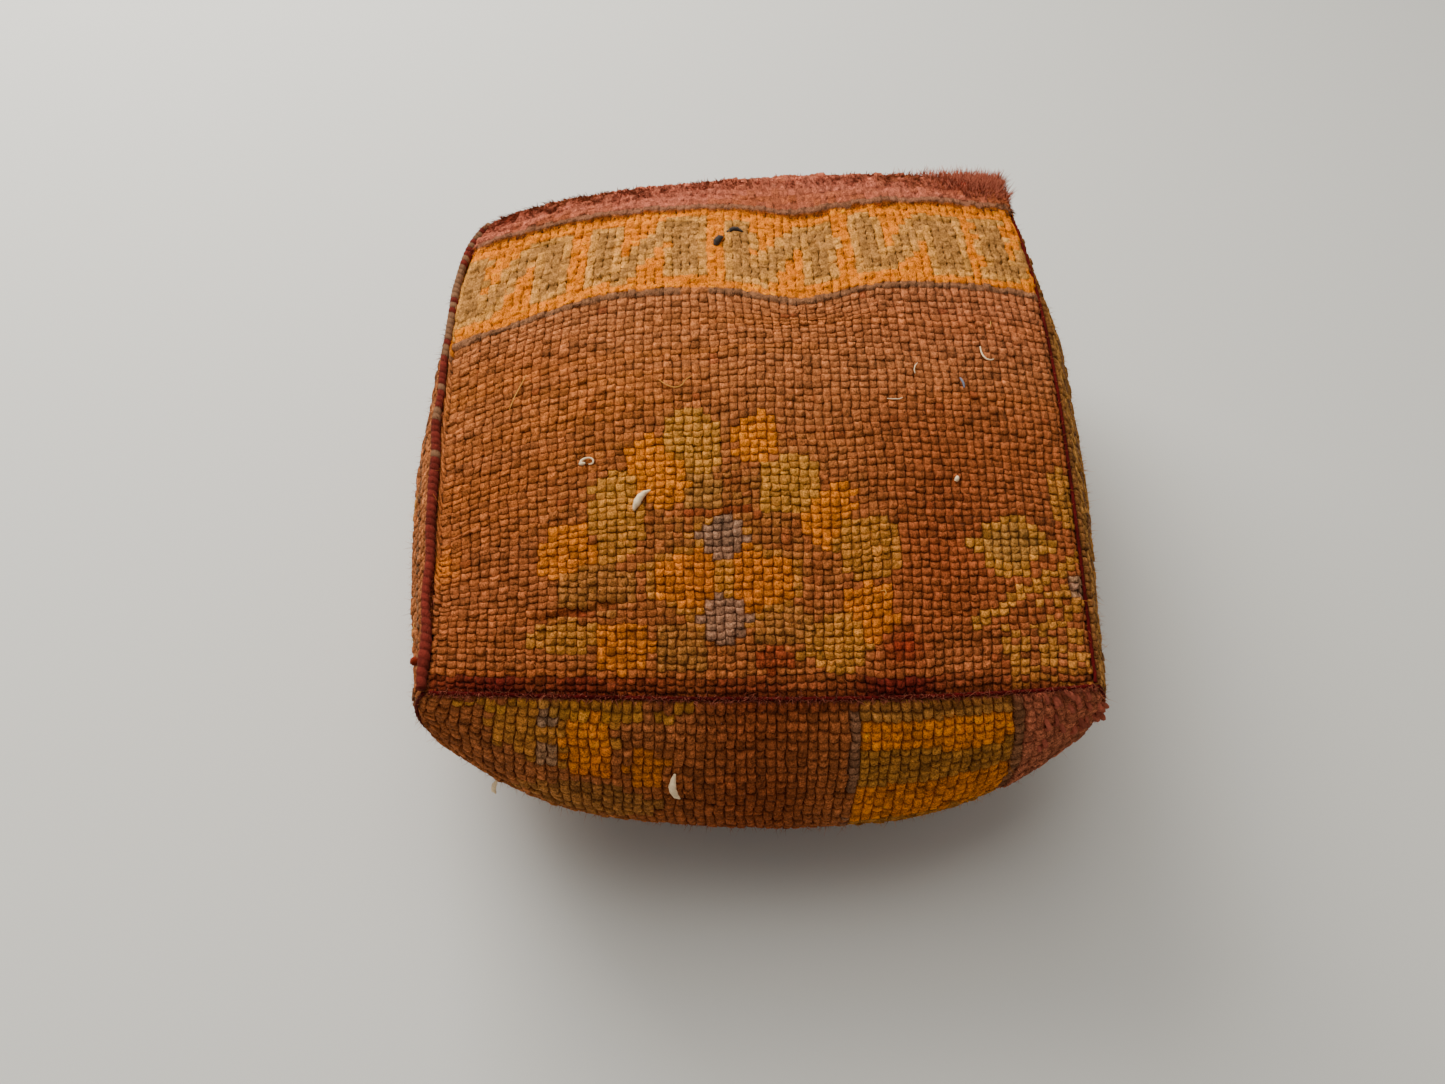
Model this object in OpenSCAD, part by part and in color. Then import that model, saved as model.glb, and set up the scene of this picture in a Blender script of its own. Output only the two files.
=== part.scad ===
// Square floor pouf: a knotted wool rug cover over a cotton liner bag that is
// stuffed with fibre. The underside is canvas, closed by a coil zip.
// Millimetres, +Z up. The pouf stands on z = 0 and its box is centred on the Z axis.

/* [Top of the cover] */
// Length of the front edge, between its two corners
front_w = 401; // [385:1:415]
// Length of the back edge, before its corners are rounded
back_w = 452; // [435:1:465]
// Depth at the left side, corner to corner
left_d = 436; // [420:1:450]
// Depth at the right side, corner to corner
right_d = 493; // [480:1:505]
// Height of the seam round the top, at the front
seam_h = 176; // [165:1:185]
// How much higher the seam is at the back
seam_rise = 6; // [0:1:12]
// How far the middle of the top stands above its seam
crown_h = 20; // [10:1:26]

/* [Sides and underside] */
// Width of the underside, seam to seam
base_w = 330; // [320:2:340]
// Depth of the underside, seam to seam
base_d = 400; // [390:2:410]
// How far the front swells past the line between its seams
front_swell = 46; // [30:1:50]
// How far the back swells
back_swell = 24; // [10:1:30]
// How far the left side swells
left_swell = 17; // [10:1:24]
// How far the right side swells
right_swell = 15; // [10:1:24]
// How far the underside's seam is lifted off the floor
rim_lift = 12; // [8:1:16]
// How much more its corners are lifted
corner_lift = 32; // [20:1:36]

/* [Layers] */
// Thickness of the rug, with its pile
rug_t = 10; // [8:0.5:12]
// Thickness of the canvas
canvas_t = 1.2; // [0.8:0.1:1.6]
// Thickness of the cotton liner
liner_t = 0.8; // [0.6:0.1:1]
// Radius of a seam's thread
thread_r = 1.5; // [1:0.1:2]
// Radius of the wrapped selvedge on the left edge
selvedge_r = 4; // [3:0.25:5]

/* [Zip] */
// Length of the zip's tape
zip_l = 296; // [280:2:296]
// Width of one side of the tape
tape_w = 14.4; // [13:0.2:15]
// Radius of one turn of the coil
tooth_r = 0.9; // [0.8:0.05:1]
// Distance from one turn to the next
tooth_pitch = 3; // [2.5:0.5:5]
// Length of the slider
slider_l = 11; // [10:0.5:12]
// Length of the pull, from its pin to its tip
pull_l = 32; // [26:1:34]

/* [Hidden] */

// Plan of the top and of the underside: front left, front right, back right, back left
top_shift = -9;              // the top leans a little to the left of the underside
top_front = 239;             // its front edge, in front of the underside's middle
TOP_PLAN = [
    [top_shift - front_w / 2, -top_front], [top_shift + front_w / 2, -top_front],
    [top_shift + back_w / 2, right_d - top_front], [top_shift - back_w / 2, left_d - top_front]
];
BASE_PLAN = [
    [-base_w / 2, -base_d / 2], [base_w / 2, -base_d / 2],
    [base_w / 2, base_d / 2], [-base_w / 2, base_d / 2]
];
// How round each corner is in plan: 0 is square, and 1 makes the outline a circle
TOP_ROUND = [0.08, 0.14, 0.37, 0.35];
base_round = 0.3;
rim_start = 0.78;            // the underside starts to lift here, on its way from 0 to 1
mitre = 7;                   // how suddenly one face's thickness gives way to the next

// The hollow that the zip lies in
hollow_h = 8;
hollow_flat = 16;            // half its flat width
hollow_reach = 50;           // half its whole width
slot_half = 6;               // half the slot between the two halves of the canvas

// Cube coordinates of the cells: the same lists serve every layer, so that they fit
half_cells = 8;
slot_q = slot_half / (base_d / 2);
flat_q = hollow_flat / (base_d / 2);
far_q = concat([slot_q], [for (i = [0 : half_cells]) mix(flat_q, 1, i / half_cells)]);
near_q = [for (q = backwards(far_q)) -q];
plan_q = concat(near_q, far_q);
rise_q = [for (i = [0 : 8]) -1 + i / 4];
tab_q = [0.9, 0.95, 1];

// Zip
tape_t = 0.6;
tape_z = hollow_h + canvas_t;              // the tape lies on the canvas, inside
tape_gap = 0.6;                            // from the middle line to the tape's edge
tooth_l = 2.3;
chain_l = zip_l - 16;
play = 0.35;                               // clearance round the slider and the pin
wing_t = 1.1;
slider_w = 9.4;
slider_x = -chain_l / 2 + slider_l / 2 + 4.5;
wing_z = tape_z - 2 * tooth_r - play;      // top of the lower wing
wing_low = wing_z - wing_t;
bridge_t = 0.8;
bridge_gap = 1.9;
bridge_l = 7.6;
bridge_w = 2.4;
pin_r = 0.6;
pin_z = wing_low - play - pin_r;
pull_w = 8;
pull_tilt = 7;                             // the pull's tip rests near the floor

function mix(a, b, t) = a + (b - a) * t;
function clamped(t) = min(1, max(0, t));
function eased(t) = let (u = clamped(t)) u * u * (3 - 2 * u);
function between(corners, u, v) =
    (1 - u) * (1 - v) * corners[0] + u * (1 - v) * corners[1] + u * v * corners[2] + (1 - u) * v * corners[3];

// Height of the underside: flat on the floor, lifted at its rim, hollow along the zip
function underside(a, b) =
    let (
        rim = pow(clamped((max(abs(a), abs(b)) - rim_start) / (1 - rim_start)), 2),
        lift = (rim_lift + corner_lift * pow(a * b, 4)) * rim,
        hollow = 1 - eased((abs(b) * base_d / 2 - hollow_flat) / (hollow_reach - hollow_flat))
    )
    mix(lift, hollow_h, hollow);

function topside(a, b) = seam_h + seam_rise * (b + 1) / 2 + crown_h * (1 - a * a) * (1 - b * b);

// A point of the stuffed shape from a point q of the cube -1 to 1
function stuffed(q) =
    let (
        a = q[0], b = q[1],
        rise = (q[2] + 1) / 2,
        swell = 1 - q[2] * q[2],
        corner = between(TOP_ROUND, (a + 1) / 2, (b + 1) / 2),
        round = mix(base_round, corner, rise),
        u = (1 + a * sqrt(1 - round * b * b / 2)) / 2,
        v = (1 + b * sqrt(1 - round * a * a / 2)) / 2,
        plan = mix(between(BASE_PLAN, u, v), between(TOP_PLAN, u, v), sin(90 * min(1, 1.6 * rise))),
        side = a * (a > 0 ? right_swell : left_swell) * swell * (1 - b * b),
        end = b * (b > 0 ? back_swell : front_swell) * swell * (1 - pow(a, 4))
    )
    [plan[0] + side, plan[1] + end, mix(underside(a, b), topside(a, b), rise)];

// The same point on an inner layer: side, cap and base are its depths under each face
function inside(q, side, cap, base) =
    stuffed(q) - [
        side * pow(q[0], mitre), side * pow(q[1], mitre), (q[2] > 0 ? cap : base) * pow(q[2], mitre)
    ];

// The box of the whole shape, to centre it
function span(list) = [min(list), max(list)];
waist = [for (a = plan_q, b = plan_q, c = rise_q) if (max(abs(a), abs(b)) == 1) stuffed([a, b, c])];
x_span = span([for (p = waist) p[0]]);
y_span = span([for (p = waist) p[1]]);
centre = [-(x_span[0] + x_span[1]) / 2, -(y_span[0] + y_span[1]) / 2, 0];

// Grids of cube points, one for each face
function cap_grid(list_a, list_b, c) = [for (a = list_a) [for (b = list_b) [a, b, c]]];
function end_grid(b) = [for (a = plan_q) [for (c = rise_q) [a, b, c]]];
function side_grid(a) = [for (b = plan_q) [for (c = rise_q) [a, b, c]]];
function layer(grid, side, cap, base) = [for (row = grid) [for (q = row) inside(q, side, cap, base)]];

// Once round the plan, anticlockwise, with no point twice
function backwards(list) = [for (i = [len(list) - 1 : -1 : 0]) list[i]];
function without_last(list) = [for (i = [0 : len(list) - 2]) list[i]];
loop_q = concat(
    [for (a = without_last(plan_q)) [a, -1]],
    [for (b = without_last(plan_q)) [1, b]],
    [for (a = without_last(backwards(plan_q))) [a, 1]],
    [for (b = without_last(backwards(plan_q))) [-1, b]]
);

// A wall between two grids of points. The outer one is on the side that
// (first direction) x (second direction) points to, unless the wall is turned.
module wall(outer, inner, turned = false, closed = false) {
    rows = len(outer);
    cols = len(outer[0]);
    half = rows * cols;
    points = concat([for (r = outer) each r], [for (r = inner) each r]);
    function at(i, j) = (i % rows) * cols + j;
    last = closed ? rows - 1 : rows - 2;
    cells = [for (i = [0 : last], j = [0 : cols - 2]) [at(i, j), at(i, j + 1), at(i + 1, j + 1), at(i + 1, j)]];
    skins = [for (c = cells) each [
        [c[0], c[1], c[2]], [c[0], c[2], c[3]],
        [half + c[0], half + c[2], half + c[1]], [half + c[0], half + c[3], half + c[2]]
    ]];
    // A strip along an edge, from its first point p to its next point n
    function strip(p, n) = [[p, n, half + n], [p, half + n, half + p]];
    function flipped(list) = [for (f = list) [f[0], f[2], f[1]]];
    long_edges = [for (i = [0 : last]) each concat(
        strip(at(i, 0), at(i + 1, 0)), flipped(strip(at(i, cols - 1), at(i + 1, cols - 1)))
    )];
    short_edges = closed ? [] : [for (j = [0 : cols - 2]) each concat(
        flipped(strip(at(0, j), at(0, j + 1))), strip(at(rows - 1, j), at(rows - 1, j + 1))
    )];
    faces = concat(skins, long_edges, short_edges);
    polyhedron(points, turned ? flipped(faces) : faces, convexity = 6);
}

// A solid from rings of points, closed by a point at each end
module stack(rings, first, final) {
    sides = len(rings[0]);
    count = len(rings);
    points = concat([for (r = rings) each r], [first, final]);
    function at(k, i) = k * sides + i % sides;
    skin = [for (k = [0 : count - 2], i = [0 : sides - 1]) each [
        [at(k, i), at(k + 1, i), at(k + 1, i + 1)], [at(k, i), at(k + 1, i + 1), at(k, i + 1)]
    ]];
    ends = [for (i = [0 : sides - 1]) each [
        [count * sides, at(0, i), at(0, i + 1)], [count * sides + 1, at(count - 1, i + 1), at(count - 1, i)]
    ]];
    polyhedron(points, concat(skin, ends), convexity = 6);
}

function unit(v) = v / norm(v);

// A round thread along a list of points; upright is true where it runs up a corner
module thread(path, r, upright = false) {
    last = len(path) - 1;
    guide = upright ? [1, 0, 0] : [0, 0, 1];
    rings = [for (k = [0 : last])
        let (
            t = unit(path[min(k + 1, last)] - path[max(k - 1, 0)]),
            u = unit(cross(t, guide)),
            v = cross(t, u)
        )
        [for (angle = [0 : 45 : 315]) path[k] + r * (cos(angle) * u + sin(angle) * v)]
    ];
    stack(rings, path[0], path[last]);
}

// Where a thread lies: just clear of the edge that it closes, on the side out
thread_steps = 18;
thread_clear = 0.5;
function along(from, to, out, r) = [for (i = [0 : thread_steps])
    stuffed(mix(from, to, i / thread_steps)) + (r + thread_clear) * unit(out)
];

module rug_wall(grid, turned = false) {
    translate(centre) wall(layer(grid, 0, 0, 0), layer(grid, rug_t, rug_t, canvas_t), turned);
}

module canvas_wall(list_a, list_b) {
    grid = cap_grid(list_a, list_b, -1);
    translate(centre) wall(layer(grid, 0, 0, 0), layer(grid, rug_t, rug_t, canvas_t), true);
}

// The liner stands a millimetre inside the rug, and higher over the zip
liner_side = rug_t + 1;
liner_base_gap = 4.5;
module liner_wall(grid, turned = false, closed = false) {
    translate(centre) wall(
        layer(grid, liner_side, liner_side, liner_base_gap),
        layer(grid, liner_side + liner_t, liner_side + liner_t, liner_base_gap + liner_t),
        turned, closed
    );
}

// The rug: one top and four sides
module top_panel() { color("sienna") rug_wall(cap_grid(plan_q, plan_q, 1)); }
module front_panel() { color("peru") rug_wall(end_grid(-1)); }
module right_panel() { color("chocolate") rug_wall(side_grid(1)); }
module back_panel() { color("rosybrown") rug_wall(end_grid(1), true); }
module left_panel() { color("tan") rug_wall(side_grid(-1), true); }

// The underside: two pieces of canvas and a tab at each end of the zip
module base_front() { color("wheat") canvas_wall(plan_q, near_q); }
module base_rear() { color("wheat") canvas_wall(plan_q, far_q); }
module zip_end_tabs() {
    color("burlywood") {
        canvas_wall(tab_q, [-slot_q, slot_q]);
        canvas_wall([for (a = backwards(tab_q)) -a], [-slot_q, slot_q]);
    }
}

// One side of the zip: 1 is the rear side, and -1 the front one
module tape(side) {
    low = side > 0 ? tape_gap : -tape_gap - tape_w;
    translate(centre) translate([-zip_l / 2, low, tape_z]) cube([zip_l, tape_w, tape_t]);
}

module coil(side) {
    turns = floor(chain_l / tooth_pitch);
    stagger = side * tooth_pitch / 4;
    start = -(turns - 1) * tooth_pitch / 2 + stagger;
    mouth = side > 0 ? tape_gap + tooth_l : -tape_gap;
    translate(centre) for (i = [0 : turns - 1])
        translate([start + i * tooth_pitch, mouth, tape_z - tooth_r])
            rotate([90, 0, 0]) cylinder(r = tooth_r, h = tooth_l, $fn = 24);
}

module zip_tape_front() { color("dimgray") tape(-1); }
module zip_tape_rear() { color("dimgray") tape(1); }
module zip_coil_front() { color("gray") coil(-1); }
module zip_coil_rear() { color("gray") coil(1); }

stop_l = 2.4;
stop_t = 1.6;
module zip_top_stops() {
    color("goldenrod") translate(centre) for (low = [tape_gap, -tape_gap - tooth_l])
        translate([-chain_l / 2 - stop_l, low, tape_z - stop_t]) cube([stop_l, tooth_l, stop_t]);
}

module zip_bottom_stop() {
    reach = tape_gap + tooth_l;
    color("goldenrod") translate(centre)
        translate([chain_l / 2 + 1, -reach, tape_z - stop_t]) cube([stop_l, 2 * reach, stop_t]);
}

// Slider: two wings joined by a thin post that runs between the two tapes
flange_w = 1.1;
upper_wing_z = tape_z + tape_t + play;
post_w = 0.5;
post_l = 4;
module zip_slider() {
    color("goldenrod") translate(centre + [slider_x, 0, 0]) {
        plate(upper_wing_z);
        plate(wing_low);
        translate([-post_l, -post_w / 2, wing_low]) cube([post_l, post_w, upper_wing_z + wing_t - wing_low]);
        for (low = [-slider_w / 2, slider_w / 2 - flange_w])
            translate([-slider_l / 2 + 1, low, wing_low]) cube([slider_l - 2, flange_w, tape_z - play - wing_low]);
        difference() {
            translate([-bridge_l / 2, -bridge_w / 2, wing_low - bridge_gap - bridge_t])
                cube([bridge_l, bridge_w, bridge_gap + bridge_t + wing_t / 2]);
            translate([bridge_t - bridge_l / 2, -bridge_w, wing_low - bridge_gap])
                cube([bridge_l - 2 * bridge_t, 2 * bridge_w, bridge_gap]);
        }
    }
}

// A wing of the slider, with its underside at z and its corners rounded
module plate(z) {
    corner = 2;
    translate([0, 0, z]) linear_extrude(wing_t) {
        square([slider_l - 2 * corner, slider_w], center = true);
        square([slider_l, slider_w - 2 * corner], center = true);
        for (x = [-1, 1], y = [-1, 1])
            translate([x * (slider_l / 2 - corner), y * (slider_w / 2 - corner)]) circle(r = corner, $fn = 32);
    }
}

// Pull: a pin under the slider's bridge, two arms and a flat tab with a hole
arm_t = 1.2;
arm_in = bridge_w / 2 + 0.5;
tab_x = 5;
hole_r = 1.8;
module zip_pull() {
    reach = arm_in + arm_t;
    color("gold") translate(centre + [slider_x, 0, pin_z]) rotate([0, pull_tilt, 0]) {
        translate([0, reach, 0]) rotate([90, 0, 0]) cylinder(r = pin_r, h = 2 * reach, $fn = 24);
        for (low = [arm_in, -reach])
            translate([0, low, -pin_r]) cube([tab_x + 1, arm_t, 2 * pin_r]);
        translate([0, 0, -pin_r]) linear_extrude(2 * pin_r) difference() {
            union() {
                translate([tab_x, -pull_w / 2]) square([pull_l - tab_x - pull_w / 2, pull_w]);
                translate([pull_l - pull_w / 2, 0]) circle(d = pull_w, $fn = 48);
            }
            translate([pull_l - pull_w / 2, 0]) circle(r = hole_r, $fn = 32);
        }
    }
}

// The liner bag: a top, a band round the sides and a base
module liner_top() { color("ivory") liner_wall(cap_grid(plan_q, plan_q, 1)); }
module liner_base() { color("ivory") liner_wall(cap_grid(plan_q, plan_q, -1), true); }
module liner_band() {
    color("ivory") liner_wall([for (q = loop_q) [for (c = rise_q) [q[0], q[1], c]]], false, true);
}

// The fibre fills the liner, a little clear of it
fill_side = liner_side + liner_t + 1;
fill_base = liner_base_gap + liner_t + 2.5;
module filling() {
    function ring(size, c) = [for (q = loop_q) inside([size * q[0], size * q[1], c], fill_side, fill_side, fill_base)];
    sizes = [0.08, 0.17, 0.28, 0.45, 0.62, 0.8];
    rings = concat(
        [for (s = sizes) ring(s, -1)], [for (c = rise_q) ring(1, c)], [for (s = backwards(sizes)) ring(s, 1)]
    );
    color("linen") translate(centre)
        stack(rings, inside([0, 0, -1], 0, 0, fill_base), inside([0, 0, 1], 0, fill_side, 0));
}

// Seams. Along the left edge of the top it is a wrapped selvedge, thick as a rope
module seam(from, to, out, r = thread_r, upright = false) {
    translate(centre) thread(along(from, to, out, r), r, upright);
}
e = 0.96;                    // a seam stops short of the corners, where the next one starts
module left_selvedge() { color("maroon") seam([-1, e, 1], [-1, -e, 1], [-1, 0, 1], selvedge_r); }
module top_seam_front() { color("maroon") seam([-e, -1, 1], [e, -1, 1], [0, -1, 1]); }
module top_seam_right() { color("maroon") seam([1, -e, 1], [1, e, 1], [1, 0, 1]); }
module top_seam_back() { color("maroon") seam([-e, 1, 1], [e, 1, 1], [0, 1, 1]); }
module corner_seam(a, b) {
    color("saddlebrown") seam([a, b, -0.88], [a, b, 0.9], [a, 0.7 * b, -0.3], thread_r, true);
}
module corner_seam_front_left() { corner_seam(-1, -1); }
module corner_seam_front_right() { corner_seam(1, -1); }
module corner_seam_back_right() { corner_seam(1, 1); }
module corner_seam_back_left() { corner_seam(-1, 1); }
module base_seam_front() { color("tan") seam([-e, -1, -1], [e, -1, -1], [0, -0.5, -0.87]); }
module base_seam_right() { color("tan") seam([1, -e, -1], [1, e, -1], [0.62, 0, -0.78]); }
module base_seam_back() { color("tan") seam([-e, 1, -1], [e, 1, -1], [0, 0.6, -0.8]); }
module base_seam_left() { color("tan") seam([-1, -e, -1], [-1, e, -1], [-0.62, 0, -0.78]); }

top_panel();
front_panel();
right_panel();
back_panel();
left_panel();
base_front();
base_rear();
zip_end_tabs();
zip_tape_front();
zip_tape_rear();
zip_coil_front();
zip_coil_rear();
zip_top_stops();
zip_bottom_stop();
zip_slider();
zip_pull();
liner_top();
liner_band();
liner_base();
filling();
left_selvedge();
top_seam_front();
top_seam_right();
top_seam_back();
corner_seam_front_left();
corner_seam_front_right();
corner_seam_back_right();
corner_seam_back_left();
base_seam_front();
base_seam_right();
base_seam_back();
base_seam_left();
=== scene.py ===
import math
import bmesh
import bpy
import numpy as np
from mathutils import Matrix, Vector


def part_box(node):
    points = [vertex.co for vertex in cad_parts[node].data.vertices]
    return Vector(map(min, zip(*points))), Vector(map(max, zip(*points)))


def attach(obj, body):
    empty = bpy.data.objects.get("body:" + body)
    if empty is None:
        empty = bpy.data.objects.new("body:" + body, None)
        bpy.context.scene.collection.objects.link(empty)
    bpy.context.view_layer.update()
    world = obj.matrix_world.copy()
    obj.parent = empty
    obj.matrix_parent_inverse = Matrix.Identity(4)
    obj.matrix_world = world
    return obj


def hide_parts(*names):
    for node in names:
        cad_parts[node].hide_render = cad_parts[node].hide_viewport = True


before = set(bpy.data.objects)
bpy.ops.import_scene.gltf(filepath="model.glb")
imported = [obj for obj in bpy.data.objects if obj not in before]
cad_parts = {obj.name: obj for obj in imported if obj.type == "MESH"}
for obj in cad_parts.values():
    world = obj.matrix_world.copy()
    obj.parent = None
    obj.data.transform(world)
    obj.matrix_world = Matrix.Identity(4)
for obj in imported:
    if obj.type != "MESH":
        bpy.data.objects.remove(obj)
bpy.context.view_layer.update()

scene = bpy.context.scene
print("pouf: frame loaded")

cameraView = {
    "place": (-0.0482, -0.5523, 0.7797),
    "heading": 3.26,   # degrees from +Y towards +X
    "pitch": 53.91,    # degrees below the horizon
    "roll": 2.83,
    "lens": 29.76,
    "sensor": 36.0,
}


def makeCamera(view):
    data = bpy.data.cameras.new("camera")
    data.lens = view["lens"]
    data.sensor_width = view["sensor"]
    data.clip_start = 0.01
    camera = bpy.data.objects.new("camera", data)
    scene.collection.objects.link(camera)
    yaw, pitch, roll = (math.radians(view[k]) for k in ("heading", "pitch", "roll"))
    forward = Vector((math.sin(yaw) * math.cos(pitch), math.cos(yaw) * math.cos(pitch), -math.sin(pitch)))
    right = Vector((math.cos(yaw), -math.sin(yaw), 0.0))
    up = right.cross(forward)
    imageRight = math.cos(roll) * right + math.sin(roll) * up
    imageUp = math.cos(roll) * up - math.sin(roll) * right
    turn = Matrix((imageRight, imageUp, -forward)).transposed()
    camera.matrix_world = Matrix.Translation(view["place"]) @ turn.to_4x4()
    scene.camera = camera


makeCamera(cameraView)

studio = {
    "floorColour": (0.73, 0.72, 0.67),
    "floorSize": 6.0,
    "worldColour": (1.0, 0.98, 0.94),
    "worldStrength": 0.30,
    "aimHeight": 0.1,
    "lamps": [
        # name, place, size, power, colour
        ("windowLight", (-1.1, 1.6, 1.5), 1.5, 74, (1.0, 0.98, 0.94)),
        ("ceilingLight", (-0.3, 0.5, 2.5), 2.2, 34, (1.0, 0.97, 0.92)),
    ],
}


def makeStudio(look):
    bm = bmesh.new()
    bmesh.ops.create_grid(bm, x_segments=1, y_segments=1, size=look["floorSize"])
    floor = bpy.data.objects.new("floor", bpy.data.meshes.new("floor"))
    bm.to_mesh(floor.data)
    bm.free()
    paint = bpy.data.materials.new("floorPaint")
    paint.use_nodes = True
    shader = paint.node_tree.nodes["Principled BSDF"]
    shader.inputs["Base Color"].default_value = (*look["floorColour"], 1)
    shader.inputs["Roughness"].default_value = 0.75
    floor.data.materials.append(paint)
    scene.collection.objects.link(floor)
    world = bpy.data.worlds.new("studio")
    world.use_nodes = True
    sky = world.node_tree.nodes["Background"]
    sky.inputs["Color"].default_value = (*look["worldColour"], 1)
    sky.inputs["Strength"].default_value = look["worldStrength"]
    scene.world = world
    for name, place, size, power, colour in look["lamps"]:
        data = bpy.data.lights.new(name, "AREA")
        data.size = size
        data.energy = power
        data.color = colour
        light = bpy.data.objects.new(name, data)
        aim = Vector((0, 0, look["aimHeight"])) - Vector(place)
        turn = aim.to_track_quat("-Z", "Y").to_matrix().to_4x4()
        light.matrix_world = Matrix.Translation(place) @ turn
        scene.collection.objects.link(light)


makeStudio(studio)
print("pouf: camera and studio")

stuffing = {
    "topPlan": [(-0.2095, -0.239), (0.1915, -0.239), (0.217, 0.254), (-0.235, 0.197)],
    "basePlan": [(-0.165, -0.200), (0.165, -0.200), (0.165, 0.200), (-0.165, 0.200)],
    "topRound": [0.08, 0.14, 0.37, 0.35],
    "baseRound": 0.3,
    "seamHeight": 0.176,
    "seamRise": 0.006,
    "crown": 0.020,
    "swell": {"front": 0.046, "back": 0.024, "left": 0.017, "right": 0.015},
    "rimStart": 0.78,
    "rimLift": 0.012,
    "cornerLift": 0.032,
    "hollow": (0.008, 0.016, 0.050),   # height, half its flat width, half its whole width
    "mitre": 7,
}


def mix(low, high, t):
    return low + (high - low) * t


def eased(t):
    t = np.clip(t, 0, 1)
    return t * t * (3 - 2 * t)


def between(corners, u, v):
    corners = np.array(corners, float)
    if corners.ndim == 1:
        corners = corners[:, None]
    weights = np.stack([(1 - u) * (1 - v), u * (1 - v), u * v, (1 - u) * v], -1)
    return weights @ corners


def unit(vectors):
    return vectors / np.maximum(np.linalg.norm(vectors, axis=-1, keepdims=True), 1e-12)


def underside(a, b):
    s = stuffing
    rim = np.clip((np.maximum(abs(a), abs(b)) - s["rimStart"]) / (1 - s["rimStart"]), 0, 1) ** 2
    lift = (s["rimLift"] + s["cornerLift"] * (a * b) ** 4) * rim
    height, flat, reach = s["hollow"]
    depth = -s["basePlan"][0][1]
    return mix(lift, height, 1 - eased((abs(b) * depth - flat) / (reach - flat)))


def stuffed(q):
    # a point of the stuffed shape for each point q of the cube -1 to 1
    s = stuffing
    a, b, c = q[..., 0], q[..., 1], q[..., 2]
    rise = (c + 1) / 2
    swell = 1 - c * c
    corner = between(s["topRound"], (a + 1) / 2, (b + 1) / 2)[..., 0]
    rounding = mix(s["baseRound"], corner, rise)
    u = (1 + a * np.sqrt(1 - rounding * b * b / 2)) / 2
    v = (1 + b * np.sqrt(1 - rounding * a * a / 2)) / 2
    spread = np.sin(math.pi / 2 * np.minimum(1, 1.6 * rise))[..., None]
    plan = mix(between(s["basePlan"], u, v), between(s["topPlan"], u, v), spread)
    out = s["swell"]
    x = plan[..., 0] + a * np.where(a > 0, out["right"], out["left"]) * swell * (1 - b * b)
    y = plan[..., 1] + b * np.where(b > 0, out["back"], out["front"]) * swell * (1 - a ** 4)
    top = s["seamHeight"] + s["seamRise"] * (b + 1) / 2 + s["crown"] * (1 - a * a) * (1 - b * b)
    return np.stack([x, y, mix(underside(a, b), top, rise)], -1)


settling = {
    "shoulder": {"left": 0.012, "right": 0.013},   # how far the stuffing pushes the sides out, high up
    "cutCorner": 0.013,                            # how far the back left corner is drawn in
}


def settled(q):
    # the stuffed shape after use
    a, b, c = q[..., 0], q[..., 1], q[..., 2]
    points = stuffed(q)
    push = settling["shoulder"]
    high = (1 - c * c) * (1 + c)
    left, right = push["left"] * eased((0.45 - b) / 0.9), push["right"] * eased((0.95 - b) / 0.8)
    points[..., 0] += a * abs(a) * np.where(a > 0, right, left) * high
    corner = settling["cutCorner"] * np.clip(-a * b * (b > 0), 0, 1) ** 6 * (1 + c) / 2
    points[..., 0] += corner * 0.8
    points[..., 1] -= corner
    return points + shift


def middle(q):
    # 0 along the edges of the cube and 1 in the middle of its faces
    second = np.sort(abs(q), axis=-1)[..., 1]
    return 1 - np.clip(second, 0, 1) ** 6


def inward(q):
    # which way is in: straight under a face's middle, and slanting at an edge
    return -q ** stuffing["mitre"]


def panelBox():
    names = [side + "_panel" for side in ("top", "front", "right", "back", "left")]
    names += ["base_front", "base_rear"]
    corners = np.array([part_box(name) for name in names])
    return corners[:, 0].min(0), corners[:, 1].max(0)


def centreShift():
    low, high = panelBox()
    line = np.linspace(-1, 1, 41)
    a, b, c = np.meshgrid(line, line, line, indexing="ij")
    points = stuffed(np.stack([a, b, c], -1)).reshape(-1, 3)
    level = np.array([1, 1, 0])
    return (low + high) / 2 - (points.min(0) + points.max(0)) / 2 * level - [0, 0, (low[2] + high[2]) / 2]


shift = centreShift()


def softNoise(x, y, seed):
    # smooth noise from -1 to 1 with cells of size 1
    rng = np.random.default_rng(seed)
    lattice = rng.uniform(-1, 1, (64, 64))
    x0, y0 = np.floor(x).astype(int), np.floor(y).astype(int)
    fx, fy = eased(x - x0), eased(y - y0)
    at = lambda i, j: lattice[(x0 + i) % 64, (y0 + j) % 64]
    return mix(mix(at(0, 0), at(1, 0), fx), mix(at(0, 1), at(1, 1), fx), fy)


faces = {
    # u and v run along these cube axes, and the third is held at side
    "top": {"u": 0, "v": 1, "held": 2, "side": 1},
    "base": {"u": 0, "v": 1, "held": 2, "side": -1},
    "front": {"u": 0, "v": 2, "held": 1, "side": -1},
    "back": {"u": 0, "v": 2, "held": 1, "side": 1},
    "left": {"u": 1, "v": 2, "held": 0, "side": -1},
    "right": {"u": 1, "v": 2, "held": 0, "side": 1},
}


def cubePoint(face, u, v):
    f = faces[face]
    q = np.empty(u.shape + (3,))
    q[..., f["u"]] = u
    q[..., f["v"]] = v
    q[..., f["held"]] = f["side"]
    return q


puffing = {
    "cells": 20,
    "inset": 0.003,
    "pressure": 4.0,
    "frames": 20,
    "cap": 0.008,
    "stiffness": 6.0,
}


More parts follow.
